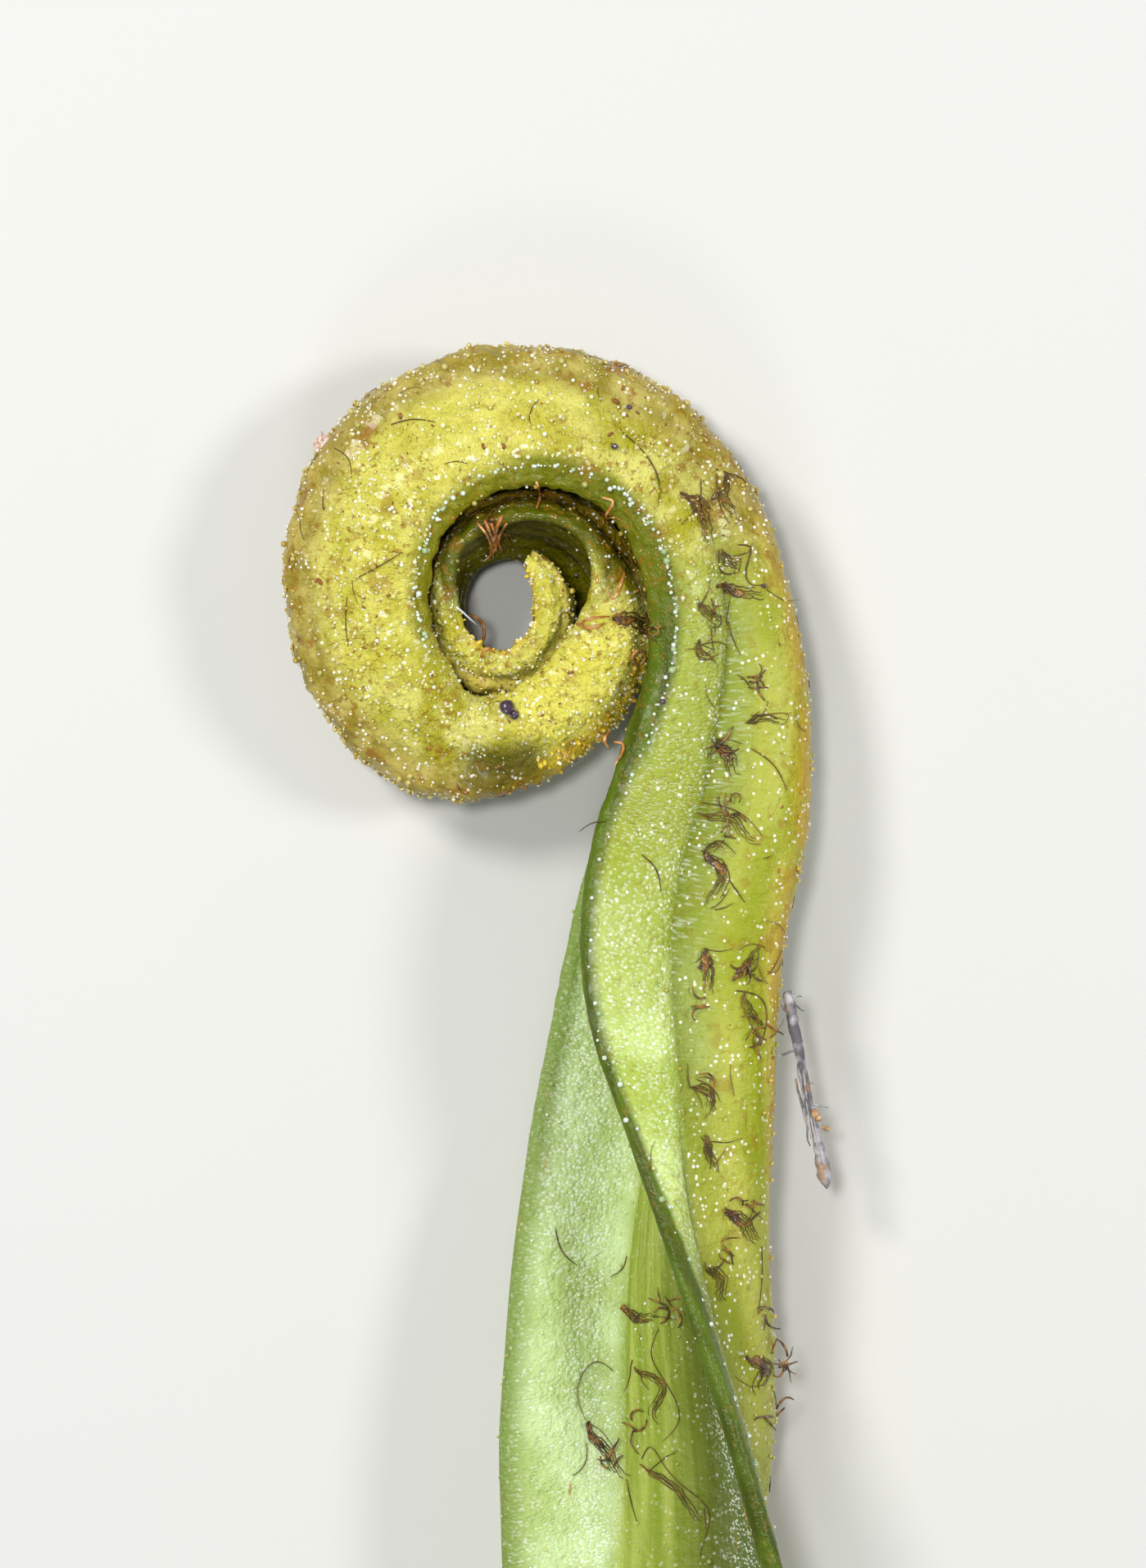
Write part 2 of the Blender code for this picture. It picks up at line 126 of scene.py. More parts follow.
# Turns of the coil: angle round its centre and radius of the back line, then the columns above.
COIL = (
    (775, 1.40, 0.13, 0.14, 0, 0.15, 0.46, 0.34, 0.64, 215, 0.16, 25, 0.34, 0.26, 160, 0.16, 25, 0.14),
    (750, 1.53, 0.22, 0.27, 0, 0.22, 0.40, 0.62, 0.80, 228, 0.20, 25, 0.62, 0.02, 150, 0.20, 25, 0.17),
    (720, 1.66, 0.28, 0.35, 0, 0.28, 0.34, 0.74, 0.86, 232, 0.22, 25, 0.76, -0.14, 150, 0.22, 25, 0.19),
    (675, 1.88, 0.34, 0.43, 0, 0.34, 0.25, 0.80, 0.88, 235, 0.24, 25, 0.84, -0.36, 150, 0.24, 25, 0.20),
    (630, 2.08, 0.40, 0.50, 0, 0.40, 0.14, 0.88, 0.84, 232, 0.25, 25, 0.90, -0.54, 150, 0.25, 25, 0.21),
    (585, 1.92, 0.43, 0.54, 2, 0.43, 0.06, 0.86, 0.80, 225, 0.26, 25, 0.90, -0.66, 164, 0.26, 30, 0.22),
    (540, 1.78, 0.46, 0.58, 10, 0.46, 0.02, 0.80, 0.82, 205, 0.26, 28, 0.92, -0.80, 178, 0.26, 32, 0.23),
    (495, 2.02, 0.50, 0.62, 22, 0.52, 0.00, 0.62, 0.92, 165, 0.27, 35, 1.12, -0.86, 192, 0.26, 34, 0.24),
    (450, 2.42, 0.55, 0.68, 30, 0.60, 0.00, 0.62, 1.06, 145, 0.28, 35, 1.36, -0.88, 190, 0.27, 38, 0.25),
    (405, 2.90, 0.61, 0.74, 32, 0.66, 0.00, 0.56, 1.16, 148, 0.28, 34, 1.60, -0.92, 182, 0.28, 42, 0.26),
    (382, 3.13, 0.64, 0.77, 31, 0.70, 0.00, 0.86, 1.22, 175, 0.28, 24, 1.69, -0.96, 177, 0.28, 42, 0.26),
    (360, 3.38, 0.68, 0.80, 30, 0.74, 0.00, 1.46, 1.24, 216, 0.28, 12, 1.76, -1.00, 172, 0.28, 42, 0.27),
    (335, 3.58, 0.74, 0.84, 30, 0.82, 0.02, 1.76, 1.20, 230, 0.28, 8, 1.85, -1.07, 162, 0.28, 40, 0.28),
    (310, 3.72, 0.79, 0.88, 28, 0.88, 0.04, 1.86, 1.20, 234, 0.30, 6, 1.90, -1.11, 154, 0.30, 38, 0.29),
    (288, 3.98, 0.85, 0.91, 20, 0.90, 0.02, 1.92, 1.18, 236, 0.32, 18, 1.98, -1.13, 145, 0.32, 36, 0.29),
    (268, 4.32, 0.90, 0.94, 8, 0.92, 0.00, 2.12, 1.14, 235, 0.34, 28, 2.15, -1.14, 132, 0.36, 34, 0.30),
    (248, 4.52, 0.93, 0.96, 0, 0.92, 0.00, 2.42, 1.16, 235, 0.38, 32, 2.40, -1.16, 125, 0.40, 32, 0.31),
    (215, 4.52, 0.95, 0.98, 0, 0.94, 0.00, 2.72, 1.20, 238, 0.44, 34, 2.70, -1.20, 122, 0.44, 34, 0.32),
    (180, 4.66, 0.97, 1.00, 0, 0.96, 0.00, 2.98, 1.22, 240, 0.46, 34, 2.90, -1.22, 120, 0.46, 34, 0.33),
    (135, 5.20, 0.98, 1.02, 0, 0.97, 0.00, 3.10, 1.26, 240, 0.46, 34, 3.00, -1.26, 120, 0.46, 34, 0.33),
    (90, 5.60, 1.02, 1.04, 0, 1.01, 0.00, 2.92, 1.30, 240, 0.46, 34, 2.90, -1.30, 120, 0.46, 34, 0.34),
    (45, 6.02, 1.14, 1.06, 0, 1.13, 0.00, 2.76, 1.34, 238, 0.46, 36, 2.90, -1.34, 122, 0.46, 36, 0.34),
    (0, 6.50, 1.42, 1.10, 0, 1.41, 0.00, 3.05, 1.38, 232, 0.44, 42, 3.10, -1.36, 126, 0.44, 42, 0.34),
)
COIL_UP = -0.45  # height of the back line round the coil

# The strap and the stalk: X, Y and height of the back line, then the same columns.
STRAP = (
    (6.80, -1.6, -0.40, 1.72, 1.14, 0, 1.71, 0.00, 3.52, 1.42, 225, 0.40, 50, 3.50, -1.36, 130, 0.40, 50, 0.34),
    (6.90, -3.4, -0.32, 2.05, 1.17, 0, 2.04, 0.00, 4.08, 1.44, 215, 0.34, 58, 3.90, -1.32, 140, 0.34, 56, 0.34),
    (6.80, -5.2, -0.22, 2.30, 1.19, 0, 2.29, 0.00, 4.42, 1.44, 205, 0.28, 62, 4.22, -1.24, 150, 0.30, 60, 0.33),
    (6.40, -7.0, -0.10, 2.32, 1.21, 0, 2.31, 0.00, 4.46, 1.44, 195, 0.22, 64, 4.46, -1.10, 158, 0.28, 62, 0.33),
    (6.18, -8.8, 0.04, 2.16, 1.24, 2, 2.15, 0.00, 4.20, 1.48, 190, 0.20, 64, 4.72, -0.96, 168, 0.26, 62, 0.33),
    (6.10, -10.6, 0.20, 2.10, 1.29, 8, 2.10, -0.02, 3.62, 1.60, 182, 0.20, 60, 5.02, -0.76, 178, 0.26, 58, 0.33),
    (6.03, -12.4, 0.38, 2.20, 1.35, 19, 2.20, -0.06, 2.84, 1.78, 168, 0.24, 52, 5.28, -0.54, 190, 0.26, 50, 0.33),
    (6.06, -14.2, 0.55, 2.36, 1.40, 31, 2.34, -0.10, 2.16, 2.00, 150, 0.32, 44, 5.60, -0.36, 202, 0.26, 40, 0.33),
    (6.16, -16.0, 0.70, 2.60, 1.43, 41, 2.40, -0.16, 1.64, 2.16, 134, 0.40, 34, 5.88, -0.28, 210, 0.26, 30, 0.34),
    (6.30, -17.8, 0.82, 2.78, 1.45, 50, 2.46, -0.22, 1.20, 2.24, 120, 0.44, 24, 6.14, -0.26, 214, 0.26, 22, 0.34),
    (6.40, -19.6, 0.88, 2.84, 1.46, 59, 2.52, -0.26, 0.80, 2.28, 110, 0.46, 8, 6.20, -0.26, 216, 0.26, 18, 0.34),
    (6.42, -21.4, 0.90, 2.84, 1.46, 67, 2.58, -0.28, 0.36, 2.26, 102, 0.46, 2, 6.17, -0.26, 216, 0.26, 16, 0.34),
    (6.34, -24.4, 0.88, 2.78, 1.45, 74, 2.66, -0.30, 0.28, 2.02, 98, 0.42, 4, 5.84, -0.24, 212, 0.26, 14, 0.34),
    (6.10, -27.6, 0.84, 2.70, 1.42, 78, 2.62, -0.32, 0.54, 1.60, 98, 0.38, 18, 5.14, -0.20, 205, 0.26, 14, 0.34),
    (5.72, -30.6, 0.78, 2.62, 1.40, 80, 2.46, -0.34, 0.76, 1.12, 98, 0.34, 32, 4.46, -0.24, 196, 0.26, 14, 0.34),
    (5.30, -33.4, 0.72, 2.56, 1.38, 80, 2.22, -0.36, 0.80, 0.66, 98, 0.32, 50, 3.98, -0.30, 186, 0.28, 16, 0.34),
    (4.94, -35.8, 0.66, 2.54, 1.36, 80, 2.02, -0.38, 0.74, 0.40, 98, 0.32, 66, 3.72, -0.36, 178, 0.28, 20, 0.34),
    (4.70, -37.6, 0.62, 2.56, 1.38, 80, 1.92, -0.40, 0.66, 0.32, 98, 0.32, 72, 3.60, -0.40, 176, 0.28, 24, 0.34),
)
print(len(COIL), "sections round the coil,", len(STRAP), "down the strap")

# %% [markdown]
# ## Frames along the midrib
#
# A cubic spline through the rows gives every section in between. `turn` says where on the frond a section
# is: degrees round the coil above zero, and millimetres down the strap below zero.

# %% Run a spline through the rows


def spline(knots, values, at):
    """Natural cubic spline through values (one row a knot), read at the given places."""
    gaps = np.diff(knots)
    slopes = np.diff(values, axis=0) / gaps[:, None]
    count = len(knots)
    system = np.eye(count)
    right = np.zeros_like(values)
    for i in range(1, count - 1):
        system[i, i - 1:i + 2] = gaps[i - 1], 2 * (gaps[i - 1] + gaps[i]), gaps[i]
        right[i] = 6 * (slopes[i] - slopes[i - 1])
    bend = np.linalg.solve(system, right)
    i = np.clip(np.searchsorted(knots, at) - 1, 0, count - 2)
    gap = gaps[i][:, None]
    before = ((knots[i + 1] - at)[:, None]) / gap
    after = 1 - before
    curved = (before**3 - before) * bend[i] + (after**3 - after) * bend[i + 1]
    return before * values[i] + after * values[i + 1] + curved * gap**2 / 6


def key_rows():
    """Back-line points, section columns and turn of every row, from the tip to the cut end."""
    points, columns, turns = [], [], []
    for angle, radius, *rest in COIL:
        bearing = math.radians(angle)
        points.append((radius * math.cos(bearing), radius * math.sin(bearing), COIL_UP))
        columns.append(rest)
        turns.append(angle)
    for x, y, z, *rest in STRAP:
        points.append((x, y, z))
        columns.append(rest)
        turns.append(y)
    return np.array(points), np.array(columns, float), np.array(turns, float)


KEY_POINTS, KEY_COLUMNS, KEY_TURNS = key_rows()
KEY_RUN = np.concatenate([[0.0], np.cumsum(np.linalg.norm(np.diff(KEY_POINTS, axis=0), axis=1))])
print("length along the back of the midrib, mm:", round(KEY_RUN[-1], 1))

# %% [markdown]
# ## One cross-section
#
# Each half of the blade is a thin sheet on a curved line, and its margin is rolled into a round hem. The
# line is a Bezier curve from the midrib to the margin. Points stand closer together on the hem, where the
# outline turns sharply. Beside each point, the outline keeps three facts that the finish needs later: how
# far across the blade it is, how far from the margin, and whether it is on the outer face.

# %% Draw a cross-section
SHEET_STEPS = 8
HEM_STEPS = 9
BACK_STEPS = 19
BACK_SPAN = 72  # degrees to each side of the midrib's back line
FACE_CROWN = 0.12
BACK_SQUARENESS = 2.7
LEAVE_PULL, ARRIVE_PULL = 0.42, 0.30  # handles of the blade's curve, as shares of its reach
LINE_STEPS = 49
NO_MARGIN = 9.0  # a distance that stands for no margin nearby


def bezier(start, leave, arrive, end, u):
    """Points of a cubic curve with two handles, at shares u of it."""
    u = u[:, None]
    return ((1 - u)**3 * start + 3 * (1 - u)**2 * u * leave
            + 3 * (1 - u) * u**2 * arrive + u**3 * end)


def blade_half(root, leaving, margin, heading_deg, hem, sheet, side):
    """Outer points, inner points and distances from the midrib, ending at the tip of the hem."""
    heading = np.array([math.cos(math.radians(heading_deg)), math.sin(math.radians(heading_deg))])
    reach = np.linalg.norm(margin - root)
    leave, arrive = root + leaving * reach * LEAVE_PULL, margin - heading * reach * ARRIVE_PULL
    line = bezier(root, leave, arrive, margin, np.linspace(0.0, 1.0, LINE_STEPS))
    last = line[-1] - line[-2]
    line = np.vstack([line, line[-1] + last / np.linalg.norm(last) * hem / 2])
    gone = np.concatenate([[0.0], np.cumsum(np.linalg.norm(np.diff(line, axis=0), axis=1))])
    length, radius = gone[-1], hem / 2
    round_hem = np.cos(np.linspace(0.0, math.pi, HEM_STEPS + 2)[1:])
    at = np.concatenate([np.linspace(0.0, length - hem, SHEET_STEPS + 1)[1:],
                         length - radius - radius * round_hem])
    middle = np.stack([np.interp(at, gone, line[:, axis]) for axis in (0, 1)], axis=1)
    slope = np.gradient(line, gone, axis=0)
    ahead = np.stack([np.interp(at, gone, slope[:, axis]) for axis in (0, 1)], axis=1)
    ahead /= np.linalg.norm(ahead, axis=1)[:, None]
    out = np.stack([ahead[:, 1], -ahead[:, 0]], axis=1) * side
    from_tip = length - at
    bead = np.sqrt(np.clip(radius**2 - (from_tip - radius)**2, 0.0, None))
    half = np.where(from_tip < radius, bead, np.maximum(bead, sheet / 2))[:, None]
    return middle + out * half, middle - out * half, at


def section(row):
    """Closed outline of (outward, up) points, then across, edge and outside for each of them."""
    c = dict(zip(COLUMNS, row))
    twist = math.radians(c["twist"])
    hollow = np.array([-math.cos(twist), math.sin(twist)])
    side_way = np.array([math.sin(twist), math.cos(twist)])
    centre = np.array([-c["centre_in"], c["centre_up"]])
    width, sheet = c["half_width"], c["sheet"]
    halves = []
    for name, side in (("near", 1), ("far", -1)):
        fold = math.radians(c[name + "_fold"])
        leaving = side_way * side * math.cos(fold) + hollow * math.sin(fold)
        root = centre + side_way * side * (width - sheet / 2)
        margin = np.array([-c[name + "_in"], c[name + "_up"]])
        halves.append(blade_half(root, leaving, margin, c[name + "_heading"], c[name + "_hem"], sheet, side))
    (near_out, near_in, near_at), (far_out, far_in, far_at) = halves
    phi = np.radians(np.linspace(-BACK_SPAN, BACK_SPAN, BACK_STEPS))
    power = 2 / BACK_SQUARENESS
    deep = c["depth"] * np.abs(np.cos(phi))**power
    wide = np.sign(phi) * width * np.abs(np.sin(phi))**power
    back = centre - hollow * deep[:, None] + side_way * wide[:, None]
    share = np.array([0.75, 0.4, 0.0, -0.4, -0.75])
    swell = sheet / 2 + FACE_CROWN * width * (1 - share**2)
    face = centre + hollow * swell[:, None] + side_way * share[:, None] * width
    outline = np.vstack([near_in[-2::-1], face, far_in, far_out[-2::-1], back, near_out])
    near_across, far_across = width + near_at, -width - far_at
    across = np.concatenate([near_across[-2::-1], share * width, far_across, far_across[-2::-1],
                             wide, near_across])
    near_edge, far_edge = near_at[-1] - near_at, far_at[-1] - far_at
    inside_edge, outside_edge = np.full(len(share), NO_MARGIN), np.full(len(phi), NO_MARGIN)
    edge = np.concatenate([near_edge[-2::-1], inside_edge, far_edge, far_edge[-2::-1],
                           outside_edge, near_edge])
    inner, outer = np.zeros(len(near_at) - 1), np.ones(len(near_at) - 1)
    outside = np.concatenate([inner, np.zeros(len(share)), inner, [0.5],
                              outer, np.ones(len(phi)), outer, [0.5]])
    return outline, across, edge, outside


AROUND = len(section(KEY_COLUMNS[20])[0])
print("points in one outline:", AROUND)

# %% [markdown]
# ## The skin of the frond
#
# The sections stand close together in the part that shows best, and wider down the stalk. A grid
# primitive has the right net of faces already, so it is taken and its vertices are laid on the outlines,
# like a stocking. Its first and last columns then lie on each other and are merged, and the two open ends
# are filled. A loft through unlike sections can't be made with extrude alone, which is why the vertices are
# placed by code here.

# %% Lay a grid over the sections
FINE_GAP, COARSE_GAP = 0.080, 0.130
FINE_DOWN_TO = 22.5  # millimetres down the strap
COARSE_FROM = float(np.interp(FINE_DOWN_TO, -KEY_TURNS[len(COIL):], KEY_RUN[len(COIL):]))
fine = np.linspace(0.0, COARSE_FROM, int(COARSE_FROM / FINE_GAP))
coarse = np.linspace(COARSE_FROM, KEY_RUN[-1], int((KEY_RUN[-1] - COARSE_FROM) / COARSE_GAP))[1:]
RUN = np.concatenate([fine, coarse])
RINGS = len(RUN)


def back_frames(at):
    """Place of the back line and its outward direction at the given lengths from the tip."""
    nudge = 1e-3
    places = spline(KEY_RUN, KEY_POINTS, at)
    ahead = spline(KEY_RUN, KEY_POINTS, np.clip(at + nudge, 0, KEY_RUN[-1]))
    ahead -= spline(KEY_RUN, KEY_POINTS, np.clip(at - nudge, 0, KEY_RUN[-1]))
    outward = np.stack([-ahead[:, 1], ahead[:, 0], np.zeros(len(at))], axis=1)
    return places, outward / np.linalg.norm(outward, axis=1)[:, None]


def loft(at):
    """Points of every ring, in millimetres from the coil's centre, and the facts kept beside them."""
    places, outward = back_frames(at)
    rings, facts = [], []
    for place, out, row in zip(places, outward, spline(KEY_RUN, KEY_COLUMNS, at)):
        outline, across, edge, outside = section(row)
        rings.append(place + outline[:, :1] * out + outline[:, 1:] * np.array([0, 0, 1.0]))
        facts.append((across, edge, outside))
    return np.array(rings), np.array(facts)


def deselect_all():
    if bpy.context.object and bpy.context.object.mode != "OBJECT":
        bpy.ops.object.mode_set(mode="OBJECT")
    bpy.ops.object.select_all(action="DESELECT")


def keep(mesh, name, values):
    """One number a vertex, under a name that the finish can ask for."""
    layer = mesh.attributes.new(name, "FLOAT", "POINT")
    layer.data.foreach_set("value", np.asarray(values, np.float32))


rings, facts = loft(RUN)
deselect_all()
bpy.ops.mesh.primitive_grid_add(x_subdivisions=AROUND, y_subdivisions=RINGS - 1, size=2)
frond = bpy.context.object
frond.name = frond.data.name = "frond_skin"
grid = np.empty(len(frond.data.vertices) * 3, np.float32)
frond.data.vertices.foreach_get("co", grid)
grid = grid.reshape(-1, 3)
column = np.rint((grid[:, 0] + 1) / 2 * AROUND).astype(int) % AROUND
ring = np.rint((grid[:, 1] + 1) / 2 * (RINGS - 1)).astype(int)
frond.data.vertices.foreach_set("co", to_frame(rings[ring, column]).astype(np.float32).ravel())
turn = np.interp(RUN, KEY_RUN, KEY_TURNS)[ring]
across, edge, outside = (facts[ring, i, column] for i in range(3))
print(RINGS, "rings of", AROUND, "points")

# %% [markdown]
# ## Zones
#
# A frond isn't one colour, and its relief isn't the same all over. Every vertex keeps three measures: its
# turn, how far along the frond it runs, and how far across the blade it lies. The zones beside them are
# numbers from 0 to 1: how young the tissue is, where the midrib, the hem and the rough papillate edges
# are, what is brightly lit, shaded or narrow, where the groove, the crease and the far margin are, and
# where the stalk is cut. Light and shade are painted into the colour through the lit and shaded zones,
# the groove, the crease and the far margin. The finish reads them as attributes, and the same numbers
# steer the relief and the scatter of the glands.

# %% Work out the zones


def rise(value, low, high):
    """0 below low, 1 above high, and smooth between them. It falls if low is the higher one."""
    share = np.clip((value - low) / (high - low), 0.0, 1.0)
    return share * share * (3 - 2 * share)


columns_at = spline(KEY_RUN, KEY_COLUMNS, RUN)
half_width = columns_at[:, COLUMNS.index("half_width")][ring]
hem = columns_at[:, COLUMNS.index("near_hem")][ring]
young = rise(turn, -6.5, 25)
midrib = rise(np.abs(across), half_width * 1.22, half_width * 1.08)
near = rise(across, 0.2, 0.8)
broad_hem = hem * (1 + 0.60 * rise(turn, -9, -2) * rise(turn, 190, 10))
rolled = rise(edge, broad_hem * 1.25, broad_hem * 1.05)
lobed = rise(turn, 195, 235) * (1 - rise(turn, 375, 400) * rise(turn, 560, 530))
hem_zone = rolled * near * (1 - 0.85 * lobed)
# Painted light: the lobe, the tip and the near half of the outer turn, which are brightly lit, are marked for a
# paler yellow.
bright = rise(turn, 274, 292) * rise(turn, 368, 345) * outside + 0.7 * rise(turn, 545, 590) * outside
bright += 0.5 * rise(turn, 60, 85) * rise(turn, 240, 200) * outside * near * (1 - midrib)
shaded = rise(turn, 358, 385) * rise(turn, 535, 490) * outside * rise(edge, 0.12, 0.35)
shaded += 0.85 * rise(turn, 254, 266) * rise(turn, 296, 284) * rise(across, 1.75, 1.30) * outside
narrow = near * (1 - midrib) * (1 - hem_zone) * rise(-turn, 13.0, 15.5) * outside
# Painted shadow: the inside of the strap beside the hem, deep in the groove, is marked to be painted dark.
groove = (1 - outside) * rise(across, 0.1, 1.0) * rise(-turn, 9.5, 11.5)
# Painted shade: the far margin, where it curls away from the light, is marked to be painted darker.
far_margin = rise(edge, 0.75, 0.25) * rise(across, -0.5, -1.2) * rise(turn, 0, -6)
rough = rise(turn, 282, 296) * rise(turn, 352, 338) * midrib * outside
rough += rise(turn, 540, 620) * rise(edge, hem * 0.9, hem * 0.3) * near
# The crease is a real dent in the relief, and the same zone paints shade into it.
crease = np.exp(-((across - half_width - 0.25) / 0.12)**2) * outside * rise(turn, 50, 0)
zones = {
    "turn": turn, "run": RUN[ring], "across": across, "outside": outside, "young": young,
    "midrib": midrib, "hem": hem_zone, "bright": np.clip(bright, 0, 1),
    "shaded": np.clip(shaded, 0, 1), "rough": np.clip(rough, 0, 1), "crease": crease,
    "far_margin": far_margin, "narrow": narrow, "groove": groove,
    "cut": RUN[ring] > KEY_RUN[-1] - COARSE_GAP / 2,
}
for name, values in zones.items():
    keep(frond.data, name, values)
print("zones:", ", ".join(zones))

# %% Close the skin
bpy.context.view_layer.objects.active = frond
bpy.ops.object.mode_set(mode="EDIT")
bpy.ops.mesh.select_all(action="SELECT")
bpy.ops.mesh.remove_doubles(threshold=1e-7)
bpy.ops.mesh.select_all(action="DESELECT")
bpy.ops.mesh.select_mode(type="EDGE")
bpy.ops.mesh.select_non_manifold(extend=False, use_wire=False, use_multi_face=False,
                                 use_non_contiguous=False, use_verts=False)
bpy.ops.mesh.fill_holes(sides=0)
bpy.ops.mesh.select_all(action="SELECT")
bpy.ops.mesh.normals_make_consistent(inside=False)
bpy.ops.mesh.select_all(action="DESELECT")
bpy.ops.object.mode_set(mode="OBJECT")
ends = [face for face in frond.data.polygons if len(face.vertices) > 4]
print("ends filled:", len(ends), "faces:", len(frond.data.polygons))

# %% [markdown]
# ## Relief
#
# Living tissue this young is lumpy. The back of the coil has a wavy ridge, the skin between the glands
# swells and dips, a crease runs where the folded half leaves the midrib, and the youngest edges are
# rough with papillae. A Displace modifier makes each of them, with a Clouds texture for all but the
# crease, and a vertex group says where it works and how strongly. The modifiers are applied, so that
# the glands and scales later sit on the real surface.

# %% Shape the relief
LEVELS = 16


def vertex_group(obj, name, values):
    """A vertex group with the weights rounded to a few levels, which is quick to fill."""
    group = obj.vertex_groups.new(name=name)
    level = np.rint(np.asarray(values) * LEVELS).astype(int)
    for step in range(1, LEVELS + 1):
        chosen = np.flatnonzero(level == step)
        if len(chosen):
            group.add(chosen.tolist(), step / LEVELS, "REPLACE")
    return group


def relief(obj, name, weights, grain_mm, height_mm, depth=2):
    """Pushes the surface in and out by a cloud pattern, or evenly if it has no grain, where weights say."""
    texture = None
    modifier = obj.modifiers.new(name, "DISPLACE")
    if grain_mm:
        texture = bpy.data.textures.new(name, "CLOUDS")
        texture.noise_scale = grain_mm * MM
        texture.noise_depth = depth
        modifier.texture = texture
    vertex_group(obj, name, weights)
    modifier.vertex_group = name
    modifier.strength = height_mm * MM
    modifier.mid_level = 0.5 if grain_mm else 0.0
    bpy.context.view_layer.objects.active = obj
    bpy.ops.object.modifier_apply(modifier=name)
    obj.vertex_groups.remove(obj.vertex_groups[name])
    if texture:
        bpy.data.textures.remove(texture)


def read(mesh, name):
    """The numbers that keep() put on a mesh."""
    values = np.empty(len(mesh.vertices), np.float32)
    mesh.attributes[name].data.foreach_get("value", values)
    return values


deselect_all()
frond.select_set(True)
skin = frond.data
z_turn, z_out, z_young = read(skin, "turn"), read(skin, "outside"), read(skin, "young")
z_rib, z_rough, z_hem = read(skin, "midrib"), read(skin, "rough"), read(skin, "hem")
z_across = read(skin, "across")
relief(frond, "wavy ridge", z_rib * z_out * rise(z_turn, -8, 30), 0.95, 0.26)
relief(frond, "swelling skin", z_out * (0.30 + 0.70 * z_young), 0.36, 0.17)
relief(frond, "crease", read(skin, "crease"), 0, -0.16)
relief(frond, "wavy hem", z_hem * (0.4 + 0.6 * z_young), 0.55, 0.08)
relief(frond, "papillate edge", z_rough, 0.13, 0.12)
bpy.ops.object.shade_smooth_by_angle(angle=math.radians(60))
print("frond triangles:", sum(len(face.vertices) - 2 for face in skin.polygons))

# %% [markdown]
# ## Feeling for the surface
#
# Everything that lies on the frond has to touch it. A BVH tree of the finished skin answers two questions
# quickly: how high the skin is under a point, and where the nearest skin is.

# %% Build the tree
skin.calc_loop_triangles()
skin_points = np.empty(len(skin.vertices) * 3, np.float32)
skin.vertices.foreach_get("co", skin_points)
skin_points = skin_points.reshape(-1, 3)
skin_triangles = np.empty(len(skin.loop_triangles) * 3, np.int32)
skin.loop_triangles.foreach_get("vertices", skin_triangles)
skin_triangles = skin_triangles.reshape(-1, 3)
tree = BVHTree.FromPolygons([Vector(point) for point in skin_points], skin_triangles.tolist())


def height_at(x, y):
    """Height of the skin under a point, in metres, or None beside it."""
    hit = tree.ray_cast(Vector((x, y, 0.1)), Vector((0, 0, -1)))[0]
    return hit.z if hit else None


def through(points, gap=0.07):
    """A smooth line through a few given points, with a point every gap millimetres."""
    points = np.asarray(points, float)
    knots = np.concatenate([[0.0], np.cumsum(np.linalg.norm(np.diff(points, axis=0), axis=1))])
    return spline(knots, points, np.linspace(0, knots[-1], max(3, int(knots[-1] / gap) + 1)))


SKIN_STEP = 1.2  # millimetres; a longer step in height is the edge of the frond, and isn't followed
SMOOTH_SPAN = 5


def drape(line, lift=0.03):
    """Lays a line of (x, y) millimetres on the skin from above. It bridges dips and never sinks in."""
    flat = to_frame(np.column_stack([line, np.zeros(len(line))]))
    heights = [height_at(x, y) for x, y, _ in flat]
    known = [height for height in heights if height is not None] or [float(to_frame((0, 0, 0))[2])]
    last = known[0]
    for i, height in enumerate(heights):
        last = heights[i] = last if height is None or abs(height - last) > SKIN_STEP * MM else height
    heights = np.array(heights)
    padded = np.pad(heights, SMOOTH_SPAN // 2, mode="edge")
    smooth = sum(padded[i:i + len(heights)] for i in range(SMOOTH_SPAN)) / SMOOTH_SPAN
    flat[:, 2] = np.maximum(smooth, heights) + lift * MM
    return flat


print("skin triangles in the tree:", len(skin_triangles))

# %% [markdown]
# ## Numbers and colours in a finish
#
# A finish is a small calculation at each point of the surface. `Number` lets it be written as Python
# sums, and each sum adds its Math node. `Finish` holds one material: `node` adds any node from its type,
# settings and inputs, and the other methods are short names for the ones used most.

# %% Make the finish helpers


class Number:
    """A value on its way through a material. Python's operators add Math nodes."""

    def __init__(self, finish, socket):
        self.finish, self.socket = finish, socket

    def math(self, operation, one, two):
        return self.finish.number("ShaderNodeMath", {"operation": operation}, {0: one, 1: two})

    def __add__(self, other):
        return self.math("ADD", self, other)

    def __sub__(self, other):
        return self.math("SUBTRACT", self, other)

    def __rsub__(self, other):
        return self.math("SUBTRACT", other, self)

    def __mul__(self, other):
        return self.math("MULTIPLY", self, other)

    __radd__, __rmul__ = __add__, __mul__


